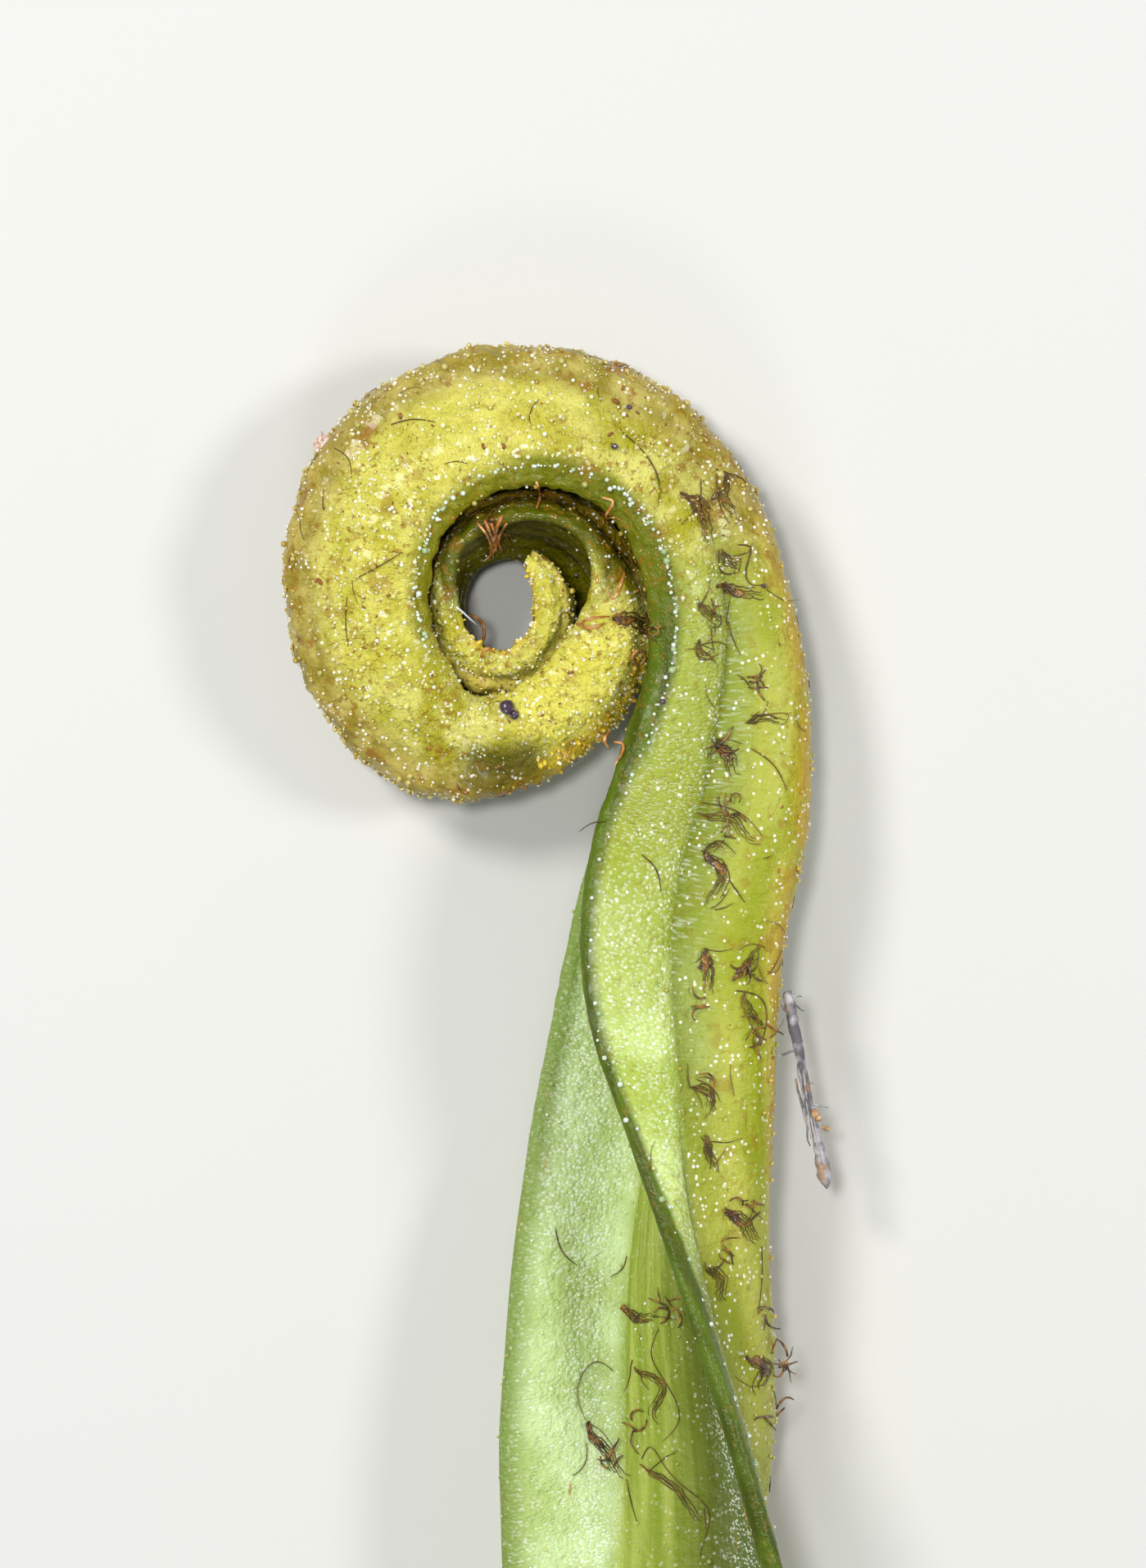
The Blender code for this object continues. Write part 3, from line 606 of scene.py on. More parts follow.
class Finish:
    """One material, from the object's own coordinates to the shader."""

    def __init__(self, name):
        self.material = bpy.data.materials.new(name)
        self.material.use_nodes = True
        self.nodes, self.links = self.material.node_tree.nodes, self.material.node_tree.links
        self.nodes.clear()
        place = self.node("ShaderNodeTexCoord").outputs["Object"]
        scale = self.node("ShaderNodeVectorMath", {"operation": "SCALE"}, {0: place, "Scale": 1 / MM})
        self.place = scale.outputs[0]

    def node(self, kind, settings=None, inputs=None):
        """A new node with its settings, and its inputs linked or filled in."""
        node = self.nodes.new(kind)
        for name, value in (settings or {}).items():
            setattr(node, name, value)
        for name, value in (inputs or {}).items():
            value = value.socket if isinstance(value, Number) else value
            if isinstance(value, bpy.types.NodeSocket):
                self.links.new(value, node.inputs[name])
            elif isinstance(value, tuple) and len(value) == 3 and node.inputs[name].type == "RGBA":
                node.inputs[name].default_value = (*value, 1.0)
            else:
                node.inputs[name].default_value = value
        return node

    def number(self, kind, settings=None, inputs=None, output=0):
        return Number(self, self.node(kind, settings, inputs).outputs[output])

    def attribute(self, name):
        """A number kept on the mesh."""
        return self.number("ShaderNodeAttribute", {"attribute_name": name}, output="Fac")

    def rise(self, value, low, high):
        """0 below low, 1 above high, and smooth between them."""
        return self.number("ShaderNodeMapRange", {"interpolation_type": "SMOOTHSTEP"},
                           {"Value": value, "From Min": low, "From Max": high})

    def grain(self, size, detail=2.0, place=None, roughness=0.5):
        """Soft noise with features about size millimetres across, from 0 to 1."""
        inputs = {"Vector": place or self.place, "Scale": 1 / size, "Detail": detail, "Roughness": roughness}
        return self.number("ShaderNodeTexNoise", None, inputs)

    def cells(self, size, place=None):
        """Distance from the middles of cells about size millimetres across."""
        return self.number("ShaderNodeTexVoronoi", None, {"Vector": place or self.place, "Scale": 1 / size})

    def mix(self, share, one, two):
        """Colour that goes from one to two as the share rises."""
        return self.node("ShaderNodeMix", {"data_type": "RGBA"}, {0: share, 6: one, 7: two}).outputs[2]

    def bump(self, height, depth_mm, below=None):
        """Normal for relief of a given depth, over the relief below it."""
        inputs = {"Height": height, "Distance": depth_mm * MM, "Strength": 1.0}
        if below is not None:
            inputs["Normal"] = below
        return self.node("ShaderNodeBump", None, inputs).outputs[0]

    def shader(self, **inputs):
        """The material, with its surface shader in place."""
        named = {name.replace("_", " "): value for name, value in inputs.items()}
        shader = self.node("ShaderNodeBsdfPrincipled", None, named)
        self.node("ShaderNodeOutputMaterial", None, {"Surface": shader.outputs[0]})
        return self.material


def add_piece(piece, slot, *nodes):
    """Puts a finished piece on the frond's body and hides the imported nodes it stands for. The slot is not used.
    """
    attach(piece, "root")
    if nodes:
        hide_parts(*nodes)


print("finish helpers ready")

# %% [markdown]
# ## The frond's living tissue
#
# The coil is bright yellow-green, because its tissue is too young to be green. The strap is pale green on
# its back and fresher green inside, the midrib olive with an orange-yellow back, and the rolled hem dark
# and glassy. On top of these lie rust-coloured flecks and streaks. Light and shade are painted in as well:
# fine sparkle on the cells of the skin and glints on the skin are painted highlights in white, the brightly
# lit places are painted a paler yellow, and the hollow of the coil, the deep shade, the groove, the crease,
# the far margin and the hem on the inner turns are painted darker as shade. The colour is made by
# functions, because the gland heads are clear drops that take the colour of the skin they stand on. Most
# tissue has a darker and a paler shade, and soft noise decides between them.

# %% Name the shades
STRAP_BACK = (0.42, 0.54, 0.09), (0.60, 0.74, 0.25)
STRAP_INSIDE = (0.47, 0.61, 0.21), (0.63, 0.79, 0.39)
MIDRIB_BACK = (0.30, 0.35, 0.01), (0.50, 0.52, 0.09)
MIDRIB_INSIDE = (0.26, 0.34, 0.035), (0.41, 0.48, 0.095)
COIL_SKIN = (0.40, 0.37, 0.012), (0.71, 0.68, 0.17)
COIL_MIDRIB = (0.28, 0.23, 0.02), (0.50, 0.43, 0.11)
# Painted shade: the inside of the coil is painted a very dark olive, as shade in its hollow.
COIL_HOLLOW_SHADE = (0.06, 0.056, 0.0005), (0.16, 0.145, 0.001)
# Painted light: the brightly lit places are painted this paler yellow.
LIT_YELLOW = (0.62, 0.56, 0.012), (0.83, 0.80, 0.21)
DEEP_SHADE = (0.045, 0.04, 0.0005), (0.135, 0.11, 0.001)
STRAP_HEM = (0.045, 0.068, 0.001), (0.09, 0.15, 0.005)
# Painted shade: the last hem colour is the hem on the inner turns, painted darker as shade deep in the coil.
YOUNG_HEM, COIL_HEM, INNER_HEM_SHADE = (0.13, 0.155, 0.001), (0.22, 0.22, 0.004), (0.085, 0.10, 0.001)
FRESH_CUT = (0.36, 0.46, 0.12), (0.66, 0.72, 0.36)
# Painted shadow: the last colour here is the shadow in the groove beside the hem.
STRAP_TOP, NARROW_BACK, GROOVE_SHADOW = (0.33, 0.385, 0.03), (0.17, 0.19, 0.025), (0.07, 0.095, 0.002)
# Painted shade: the far margin's colour darkens it where it curls away from the light, and the crease's colour
# darkens the crease.
FAR_MARGIN_SHADE, RIGHT_EDGE, CREASE_SHADE = (0.20, 0.29, 0.05), (0.52, 0.33, 0.03), (0.15, 0.20, 0.005)
PAPILLA_YELLOW, FRECKLE = (0.75, 0.46, 0.006), (0.30, 0.15, 0.008)
STAIN, RUSTY_STREAK = (0.30, 0.13, 0.01), (0.50, 0.24, 0.06)
print("shades of the living tissue named")

# %% Mix the colour of the tissue
ZONES = tuple(zones)


def strap_colour(f, z, stripes):
    """The grown blade and midrib, fresher green inside than on the back."""
    broad = f.rise(f.grain(1.5, 3.0), 0.35, 0.65)
    blade = f.mix(z["outside"], f.mix(broad, *STRAP_INSIDE), f.mix(broad, *STRAP_BACK))
    midrib = f.mix(z["outside"], f.mix(stripes, *MIDRIB_INSIDE), f.mix(stripes, *MIDRIB_BACK))
    return f.mix(z["midrib"], blade, midrib)


def coil_colour(f, z):
    """The young coil: yellow skin, a mustard midrib, and its hollow inside painted a dark olive as shade."""
    yellow = f.mix(f.rise(f.grain(0.8, 3.0), 0.35, 0.65), *COIL_SKIN)
    mustard = f.mix(f.rise(f.grain(0.7, 3.0), 0.35, 0.65), *COIL_MIDRIB)
    # Painted shade: the inside faces of the coil take the dark hollow colour.
    return f.mix(z["outside"], f.mix(f.grain(0.8), *COIL_HOLLOW_SHADE), f.mix(z["midrib"], yellow, mustard))


def patched(f, z, colour):
    """Colour with the places that differ: painted light on lit places, painted shade and shadow, and parts of the
    strap.
    """
    back, young, rib, across = z["outside"], z["young"], z["midrib"], z["across"]
    # Painted light: the brightly lit places are painted a paler yellow.
    colour = f.mix(z["bright"], colour, f.mix(f.grain(0.6), *LIT_YELLOW))
    colour = f.mix(z["shaded"], colour, f.mix(f.grain(0.5, 3.0), *DEEP_SHADE))
    top = back * (1 - young) * f.rise(z["turn"], -10.5, -5.0) * (1 - 0.7 * rib)
    colour = f.mix(top * 0.85, colour, STRAP_TOP)
    colour = f.mix(z["narrow"] * 0.75, colour, NARROW_BACK)
    # Painted shadow: the groove beside the hem is painted dark.
    colour = f.mix(z["groove"] * 0.85, colour, GROOVE_SHADOW)
    # Painted shade: the far margin is painted darker where it curls away from the light.
    colour = f.mix(z["far_margin"] * 0.9, colour, FAR_MARGIN_SHADE)
    edge_of_rib = rib * back * f.rise(across, 1.05, 0.60) * f.rise(f.grain(0.9, 3.0), 0.28, 0.52)
    edge_of_rib = edge_of_rib * f.rise(across, -0.9, 0.2) * (1 - 0.55 * young)
    return f.mix(edge_of_rib * 0.85, colour, RIGHT_EDGE)


def hemmed(f, z, stripes, colour):
    """Colour with the rolled hem, which is darkest where it is oldest, and painted darker as shade deep in the
    coil.
    """
    hem_colour = f.mix(z["young"], f.mix(stripes, *STRAP_HEM), YOUNG_HEM)
    hem_colour = f.mix(f.rise(z["turn"], 30.0, 130.0), hem_colour, COIL_HEM)
    # Painted shade: on the inner turns, deep in the coil, the hem is painted darker.
    hem_colour = f.mix(f.rise(z["turn"], 340.0, 400.0), hem_colour, INNER_HEM_SHADE)
    colour = f.mix(z["hem"] * 0.95, colour, hem_colour)
    # Painted shade: the crease is painted darker.
    colour = f.mix(z["crease"] * 0.7, colour, CREASE_SHADE)
    return f.mix(z["rough"] * 0.6, colour, PAPILLA_YELLOW)


def flecked(f, z, along, colour):
    """Colour with rust-coloured freckles and stains on the back, and streaks inside the blade."""
    back, young, rib = z["outside"], z["young"], z["midrib"]
    freckles = f.rise(f.grain(0.14, 3.0), 0.55, 0.65) * f.rise(f.grain(1.2), 0.36, 0.56) * back
    colour = f.mix(freckles * (0.35 + 0.35 * young), colour, FRECKLE)
    stain = f.rise(f.grain(0.55, 4.0), 0.58, 0.68) * back * (0.45 * rib + 0.55 * young)
    colour = f.mix(stain * 0.8, colour, STAIN)
    streak = f.rise(f.grain(0.16, 1.0, along), 0.64, 0.74) * f.rise(f.grain(1.1), 0.5, 0.62)
    streak = streak * (1 - back) * (1 - rib) * (1 - young)
    return f.mix(streak * 0.8, colour, RUSTY_STREAK)


def tissue_colour(f):
    """Colour of living tissue, the zones it was made from, and a place that is stretched lengthwise."""
    z = {name: f.attribute(name) for name in ZONES}
    along = f.node("ShaderNodeCombineXYZ", None, {0: z["across"], 1: z["run"] * 0.08}).outputs[0]
    stripes = f.rise(f.grain(0.30, 1.0, along), 0.3, 0.7)
    colour = f.mix(z["young"], strap_colour(f, z, stripes), coil_colour(f, z))
    colour = hemmed(f, z, stripes, patched(f, z, colour))
    colour = flecked(f, z, along, colour)
    return f.mix(z["cut"], colour, f.mix(f.grain(0.15, 3.0), *FRESH_CUT)), z, along


tissue = Finish("frond_tissue")
base, zone, along = tissue_colour(tissue)
print("nodes in the colour:", len(tissue.nodes))

# %% Mix the frond's finish
young_at, rib_at, hem_at, back_at = (zone[name] for name in ("young", "midrib", "hem", "outside"))
crosswise = tissue.node("ShaderNodeCombineXYZ", None, {0: zone["across"] * 0.75, 1: zone["run"]}).outputs[0]
sheet_at = (1 - young_at) * (1 - rib_at) * (1 - hem_at)
cell = tissue.cells(0.070, crosswise)
bands = tissue.rise(tissue.grain(0.9, 2.0, along), 0.38, 0.60)
# Painted highlight: fine sparkle on the cells of the skin is painted in near white.
painted_sparkle = tissue.rise(cell, 0.52, 0.24) * sheet_at * (1 - 0.55 * back_at) * (1 - 0.85 * zone["far_margin"])
painted_sparkle = painted_sparkle * tissue.rise(tissue.grain(0.20, 2.0) + bands * 0.28, 0.46, 0.74)
# Painted highlight: glints are painted near white in clusters on the skin.
glint = tissue.rise(tissue.cells(0.15), 0.30, 0.18) * tissue.rise(tissue.grain(0.5, 2.0), 0.45, 0.57)
glint = glint * (1 - hem_at) * (0.3 + 0.7 * back_at)
colour = tissue.mix(painted_sparkle * 0.7, base, (0.95, 1.0, 0.90))
colour = tissue.mix(glint * 0.85, colour, (0.98, 0.98, 0.90))
normal = tissue.bump(tissue.grain(0.26, 3.0) * (0.6 + 0.4 * young_at), 0.15)
normal = tissue.bump(cell * (1 - 0.7 * rib_at) * (1 - 0.8 * hem_at), 0.03, normal)
normal = tissue.bump(tissue.grain(0.05, 1.0), 0.014, normal)
normal = tissue.bump(tissue.grain(0.14, 1.0, along) * rib_at, 0.05, normal)
frond_finish = tissue.shader(
    Base_Color=colour,
    Roughness=tissue.grain(0.3) * 0.2 + 0.22 + sheet_at * 0.22 - hem_at * 0.06,
    IOR=1.45, Specular_IOR_Level=0.22,
    Subsurface_Weight=0.30, Subsurface_Radius=(0.9, 1.0, 0.25), Subsurface_Scale=0.30 * MM,
    Coat_Weight=young_at * 0.22 + hem_at * 0.06, Coat_Roughness=0.10, Normal=normal)
skin.materials.clear()
skin.materials.append(frond_finish)
add_piece(frond, "frond_tissue", "frond")
print("nodes in the frond's finish:", len(tissue.nodes))

# %% [markdown]
# ## Gland heads
#
# The glitter on the coil comes from thousands of gland heads, each a tiny wet ball on the skin, and from
# highlights painted near white into the skin and into some of the heads. One low ball primitive with 20
# faces is enough at this size, and it is copied with a size and a place of its own. Making an object for
# each would take minutes, so the copies go straight into one mesh. Where they stand is drawn at random,
# with a fixed seed, and more often where the zones say that the skin is young.

# %% Make the tools that scatter
draw = np.random.default_rng(7)
skin_zones = {name: read(skin, name) for name in ZONES}


def ball_primitive():
    """Points and faces of one low ball."""
    deselect_all()
    bpy.ops.mesh.primitive_ico_sphere_add(subdivisions=1, radius=1.0)
    ball = bpy.context.object
    points = np.array([vert.co for vert in ball.data.vertices])
    faces = np.array([face.vertices for face in ball.data.polygons])
    bpy.data.objects.remove(ball, do_unlink=True)
    return points, faces


BALL_POINTS, BALL_FACES = ball_primitive()


def balls(name, places, sizes, stretch=None, on=None):
    """One mesh of many balls. Places are metres, sizes millimetres, and stretch lengthens each one.
    Given the triangles that they stand on, the balls keep the zones of the skin."""
    shapes = BALL_POINTS[None] * sizes[:, None, None]
    if stretch is not None:
        reach = np.einsum("bvi,bi->bv", shapes, stretch)
        size = np.linalg.norm(stretch, axis=1)[:, None, None]
        shapes = shapes + reach[..., None] * stretch[:, None, :] / np.maximum(size, 1e-9)
    points = (places[:, None, :] + shapes * MM).reshape(-1, 3)
    faces = (BALL_FACES[None] + np.arange(len(places))[:, None, None] * len(BALL_POINTS)).reshape(-1, 3)
    mesh = bpy.data.meshes.new(name)
    mesh.from_pydata(points.tolist(), [], faces.tolist())
    mesh.shade_smooth()
    tone = draw.random(len(places)) * 0.8 + (sizes / sizes.mean() - 0.8) * 0.5
    keep(mesh, "tone", np.repeat(np.clip(tone, 0, 1), len(BALL_POINTS)))
    if on is not None:
        for zone_name, values in skin_zones.items():
            keep(mesh, zone_name, np.repeat(values[skin_triangles[on, 0]], len(BALL_POINTS)))
    piece = bpy.data.objects.new(name, mesh)
    bpy.context.scene.collection.objects.link(piece)
    return piece


corner_points = skin_points[skin_triangles]
edge_one, edge_two = corner_points[:, 1] - corner_points[:, 0], corner_points[:, 2] - corner_points[:, 0]
facing = np.cross(edge_one, edge_two)
doubled_area = np.linalg.norm(facing, axis=1)
facing = facing / np.maximum(doubled_area, 1e-15)[:, None]
area = doubled_area / 2 / MM**2


def spots(density):
    """Random places on the skin, their normals and triangles. Density is heads per square millimetre."""
    share = density[skin_triangles].mean(axis=1) * area
    chosen = draw.choice(len(area), size=int(share.sum()), p=share / share.sum())
    one, two = draw.random(len(chosen)), draw.random(len(chosen))
    fold = one + two > 1
    one, two = np.where(fold, 1 - one, one), np.where(fold, 1 - two, two)
    corner = corner_points[chosen]
    places = corner[:, 0] + one[:, None] * edge_one[chosen] + two[:, None] * edge_two[chosen]
    return places, facing[chosen], chosen


def clumps(places, size):
    """Soft noise from 0 to 1 at each place, for glands that stand in groups."""
    scale = 1 / (size * MM)
    return np.array([noise.noise(Vector(place) * scale) for place in places]) * 0.5 + 0.5


def glands(name, density, mean_size, spread, clump=0.9, sink=0.35):
    """Wet balls on the skin. Most stand in crowds, and each is sunk into the skin by a share of its size."""
    places, normals, on = spots(density)
    crowd = clumps(places, clump)
    stay = draw.random(len(places)) < np.clip(crowd * 2.4 - 0.7, 0.08, 1.0)
    places, normals, on = places[stay], normals[stay], on[stay]
    sizes = mean_size * np.exp(draw.normal(0, spread, len(places)))
    sizes = np.clip(sizes, mean_size * 0.45, mean_size * 2.0)
    print(name, "heads:", len(places))
    return balls(name, places + normals * (sizes * (1 - sink) * MM)[:, None], sizes, None, on)


# %% Scatter the glands
z_far = rise(z_across, -0.5, -1.2)
coil_zone = z_out * z_young * (1 - 0.75 * skin_zones["hem"]) * (1 - 0.6 * z_far)
coil_zone *= 1 - 0.85 * skin_zones["shaded"]
small_heads = glands("small_heads", coil_zone * 34, 0.026, 0.30, 0.5)
wet_heads = glands("wet_heads", coil_zone * (13 + 6 * skin_zones["bright"]), 0.042, 0.32, 0.9)
outer_side = rise(z_across, 1.2, 0.7)
strap_zone = z_out * (1 - z_young) * (1 - z_hem)
strap_density = strap_zone * (z_rib * (3.5 + 8.0 * outer_side) + (1 - z_rib) * 4.0)
strap_density += (1 - z_out) * 3.0 * rise(z_turn, -30, -20)
strap_heads = glands("strap_heads", strap_density, 0.032, 0.35, 0.6)

# %% [markdown]
# ## The row of heads on the hem, and the rough young edge
#
# The hem carries a row of larger, whiter heads along its outer border. The youngest margin and the edge
# of the inner turn are rough with longer papillae, which stand out from the edge, so those balls are
# stretched along the normal.

# %% Add the hem's heads and the papillae
HEM_BORDER = 11  # outline points from the hem's tip to where the hem begins
HEM_BREADTH = 0.45
HEM_HEADS_FROM, HEM_HEADS_TO = 215, 21.0  # degrees round the coil, and millimetres down the strap
HEAD_GAP, STRAP_HEAD_GAP = 0.16, 0.34  # the second is added down the strap


def hem_border(at):
    """Points on the outer face of the near half, where its rolled hem begins."""
    rings, _ = loft(at)
    border, beyond = rings[:, -HEM_BORDER], rings[:, -HEM_BORDER - 1] - rings[:, -HEM_BORDER]
    turn_here = np.interp(at, KEY_RUN, KEY_TURNS)
    broad = rise(turn_here, -9, -2) * rise(turn_here, 190, 10)
    stride = HEM_BREADTH * 0.60 * broad / np.linalg.norm(beyond, axis=1)
    return to_frame(border + beyond * stride[:, None] + np.array([0, 0, 0.02]))


hem_end = float(np.interp(HEM_HEADS_TO, -KEY_TURNS[len(COIL):], KEY_RUN[len(COIL):]))
hem_start = float(np.interp(-HEM_HEADS_FROM, -KEY_TURNS[:len(COIL)], KEY_RUN[:len(COIL)]))
steps = [hem_start]
while steps[-1] < hem_end:
    lower = rise(-float(np.interp(steps[-1], KEY_RUN, KEY_TURNS)), 2, 9)
    steps.append(steps[-1] + (HEAD_GAP + STRAP_HEAD_GAP * lower) * (0.35 + 1.3 * draw.random()))
hem_places = hem_border(np.array(steps))
hem_places += draw.normal(0, 0.045, hem_places.shape) * MM * np.array([1, 1, 0.3])
hem_sizes = 0.042 * np.exp(draw.normal(0, 0.3, len(hem_places)))
hem_sizes *= 1 + 0.35 * rise(-np.interp(steps, KEY_RUN, KEY_TURNS), 6, 12)
hem_heads = balls("hem_heads", hem_places, hem_sizes)
places, normals, on = spots(z_rough * 30)
sizes = 0.034 * np.exp(draw.normal(0, 0.3, len(places)))
papillae = balls("papillae", places + normals * (sizes * 0.6 * MM)[:, None], sizes, normals * 0.9, on)
print("hem heads:", len(hem_places), "papillae:", len(places))

# %% [markdown]
# A gland head is a clear wet drop, so its finish is smooth and glassy, and it takes a paler shade of the
# skin's colour, with amber in some of them. Some of the heads and papillae are painted near white, as
# painted highlights. The hem's heads are whiter, which paints the highlight along the hem, and papillae
# are yellow-orange.

# %% Mix the finish of the heads


def head_finish(name, pale, deep, share, roughness):
    """A wet drop from pale to deep, which covers the skin's colour by a share; where it takes the skin's colour,
    some drops get a painted highlight in near white.
    """
    drop = Finish(name)
    tone = drop.attribute("tone")
    colour = drop.mix(drop.rise(tone, 0.75, 1.0), pale, deep)
    if share < 1:
        colour = drop.mix(share, tissue_colour(drop)[0], colour)
        # Painted highlight: some drops are painted near white, as glints.
        colour = drop.mix(drop.rise(tone, 0.42, 0.26) * 0.9, colour, (0.98, 0.98, 0.86))
    return drop.shader(Base_Color=colour, Roughness=tone * 0.08 + roughness, IOR=1.5,
                       Subsurface_Weight=0.2, Subsurface_Radius=(1.0, 1.0, 0.5),
                       Subsurface_Scale=0.05 * MM, Coat_Weight=1.0, Coat_Roughness=0.03)


drop_finish = head_finish("gland_drops", (0.88, 0.82, 0.30), (0.60, 0.36, 0.04), 0.35, 0.10)
# The hem's heads are real glands; their whitish colour paints the highlight along the hem.
hem_highlight_finish = head_finish("hem_drops_highlight", (0.72, 0.80, 0.70), (0.36, 0.50, 0.24), 1.0, 0.08)
papilla_finish = head_finish("papilla", (0.88, 0.66, 0.03), (0.66, 0.26, 0.01), 0.6, 0.2)
for piece, finish in ((small_heads, drop_finish), (wet_heads, drop_finish), (strap_heads, drop_finish),
                      (hem_heads, hem_highlight_finish), (papillae, papilla_finish)):
    piece.data.materials.append(finish)
    add_piece(piece, "frond_tissue")
print("heads finished")

# %% [markdown]
# ## Brown scales
#
# A fern's scales are thin flakes of dead cells, dark where the cell walls are and clear between them, so
# what shows is a lattice of fine wavy brown lines that fan out from the attached end, with loose hairs.
# Each packed scale is replaced by one of these: lines along it, a few short bars across, hairs, and on
# some of them a crumpled red-brown heart. Lines this thin are curves with a round bevel, made a mesh.
# The dry parts are brown, in two shades mixed by soft noise. They are glossy, because scale cells have
# hard walls, and the hearts are redder than the hairs.

# %% Mix the finish of scales, hairs, curls and crumbs


def brown_finish(name, dark, light, roughness, coat):
    """Dry plant tissue in two shades."""
    dry = Finish(name)
    share = dry.rise(dry.grain(0.22, 3.0), 0.42, 0.66)
    colour = dry.mix(share, dark, light)
    normal = dry.bump(dry.grain(0.06, 2.0), 0.02)
    return dry.shader(Base_Color=colour, Roughness=dry.grain(0.15) * 0.3 + roughness, IOR=1.5,
                      Coat_Weight=coat, Coat_Roughness=0.1, Normal=normal)


heart_finish = brown_finish("scale_heart", (0.060, 0.026, 0.003), (0.34, 0.15, 0.016), 0.25, 0.5)
hair_finish = brown_finish("hair_brown", (0.070, 0.038, 0.003), (0.20, 0.10, 0.010), 0.4, 0.1)
curl_finish = brown_finish("dry_orange", (0.48, 0.17, 0.025), (0.84, 0.50, 0.22), 0.25, 0.5)
crumb_finish = brown_finish("rust", (0.20, 0.07, 0.006), (0.44, 0.19, 0.015), 0.3, 0.3)
brown_finishes = (heart_finish, hair_finish, curl_finish, crumb_finish)
print("brown finishes:", ", ".join(finish.name for finish in brown_finishes))

# %% Say where the scales lie
HEARTED = (1, 4, 8, 10, 11, 12, 16, 18, 19, 21, 23, 24)
SCALES = (  # x, y, bearing in degrees, length and width
    (4.50, 1.93, -62, 1.20, 0.34), (4.98, 2.25, -78, 1.10, 0.26), (5.10, 0.85, -30, 0.62, 0.30),
    (5.33, 0.20, -12, 0.95, 0.34), (4.66, -0.29, -40, 0.72, 0.34), (4.52, -1.22, -25, 0.75, 0.24),
    (5.90, -2.54, 0, 0.85, 0.26), (5.09, -3.42, -62, 0.90, 0.38), (5.15, -4.77, -28, 1.45, 0.32),
    (4.95, -6.03, -85, 1.30, 0.40), (4.63, -8.10, -88, 0.90, 0.36), (5.49, -7.92, 50, 0.90, 0.24),
    (5.60, -9.09, -65, 1.10, 0.28), (4.63, -10.70, -45, 0.75, 0.26), (4.62, -12.06, -75, 0.75, 0.26),
    (5.42, -13.60, -50, 1.00, 0.44), (4.90, -14.80, -66, 0.95, 0.36), (5.92, -16.80, -70, 1.00, 0.46),
    (3.10, -15.70, -12, 0.75, 0.30), (3.62, -17.20, -70, 1.60, 0.24), (2.43, -18.70, -55, 1.50, 0.34),
    (3.92, -19.40, -41, 1.80, 0.22), (2.98, -0.40, -15, 0.80, 0.50), (-0.16, 1.52, -70, 0.70, 0.30),
)
print("scales:", len(SCALES), "with a heart:", len(HEARTED))

# %% Make the strands
HAIR_STEP = 0.09


def strands(name, lines, sides=1):
    """One mesh of round tapered strands. Each line is its points in metres and its radii in millimetres."""
    data = bpy.data.curves.new(name, "CURVE")
    data.dimensions = "3D"
    data.bevel_depth = MM
    data.bevel_resolution = sides
    data.use_fill_caps = True
    for points, radii in lines:
        spline_of_line = data.splines.new("POLY")
        spline_of_line.points.add(len(points) - 1)
        for knot, point, radius in zip(spline_of_line.points, points, radii):
            knot.co = (*point, 1.0)
            knot.radius = radius
    piece = bpy.data.objects.new(name, data)
    bpy.context.scene.collection.objects.link(piece)
    deselect_all()
    piece.select_set(True)
    bpy.context.view_layer.objects.active = piece
    bpy.ops.object.convert(target="MESH")
    bpy.ops.object.mode_set(mode="EDIT")
    bpy.ops.mesh.select_all(action="SELECT")
    bpy.ops.mesh.remove_doubles(threshold=2e-7)
    bpy.ops.mesh.normals_make_consistent(inside=False)
    bpy.ops.object.mode_set(mode="OBJECT")
    bpy.ops.object.shade_smooth()
    return piece


def taper(count, thick, start=0.6, end=0.25):
    """Radii along a strand: thickest in the middle, thin at its ends."""
    share = np.linspace(0, 1, count)
    return thick * np.where(share < 0.5, start + (1 - start) * share * 2, end + (1 - end) * (1 - share) * 2)


def hair(start, heading, length, curl):
    """A hair that wanders over the skin from a point, as (x, y) millimetres."""
    points, bend = [np.array(start, float)], draw.normal(0, curl)
    for _ in range(max(3, int(length / HAIR_STEP))):
        heading += bend * 0.12 + draw.normal(0, 0.12)
        bend = bend * 0.92 + draw.normal(0, curl * 0.35)
        points.append(points[-1] + HAIR_STEP * np.array([math.cos(heading), math.sin(heading)]))
    return np.array(points)


print("a hair's step, mm:", HAIR_STEP)

# %% Make the lattice of a scale
SCALE_POINTS = 25
MIDDLE, LAST = SCALE_POINTS // 2, SCALE_POINTS - 1


def scale_path(x, y, bearing, length):
    """The bent middle line of a scale, as points (x, y), and the way across it at each point."""
    share = np.linspace(-1, 1, SCALE_POINTS)
    turned = math.radians(bearing) + draw.normal(0, 0.5) * share + draw.normal(0, 0.35) * np.sin(share * 4)
    stride = length * 1.15 / LAST * np.stack([np.cos(turned), np.sin(turned)], axis=1)
    points = np.cumsum(stride, axis=0)
    points += np.array([x, y]) - points[MIDDLE]
    across_way = np.stack([-np.sin(turned), np.cos(turned)], axis=1)
    return share, points, across_way


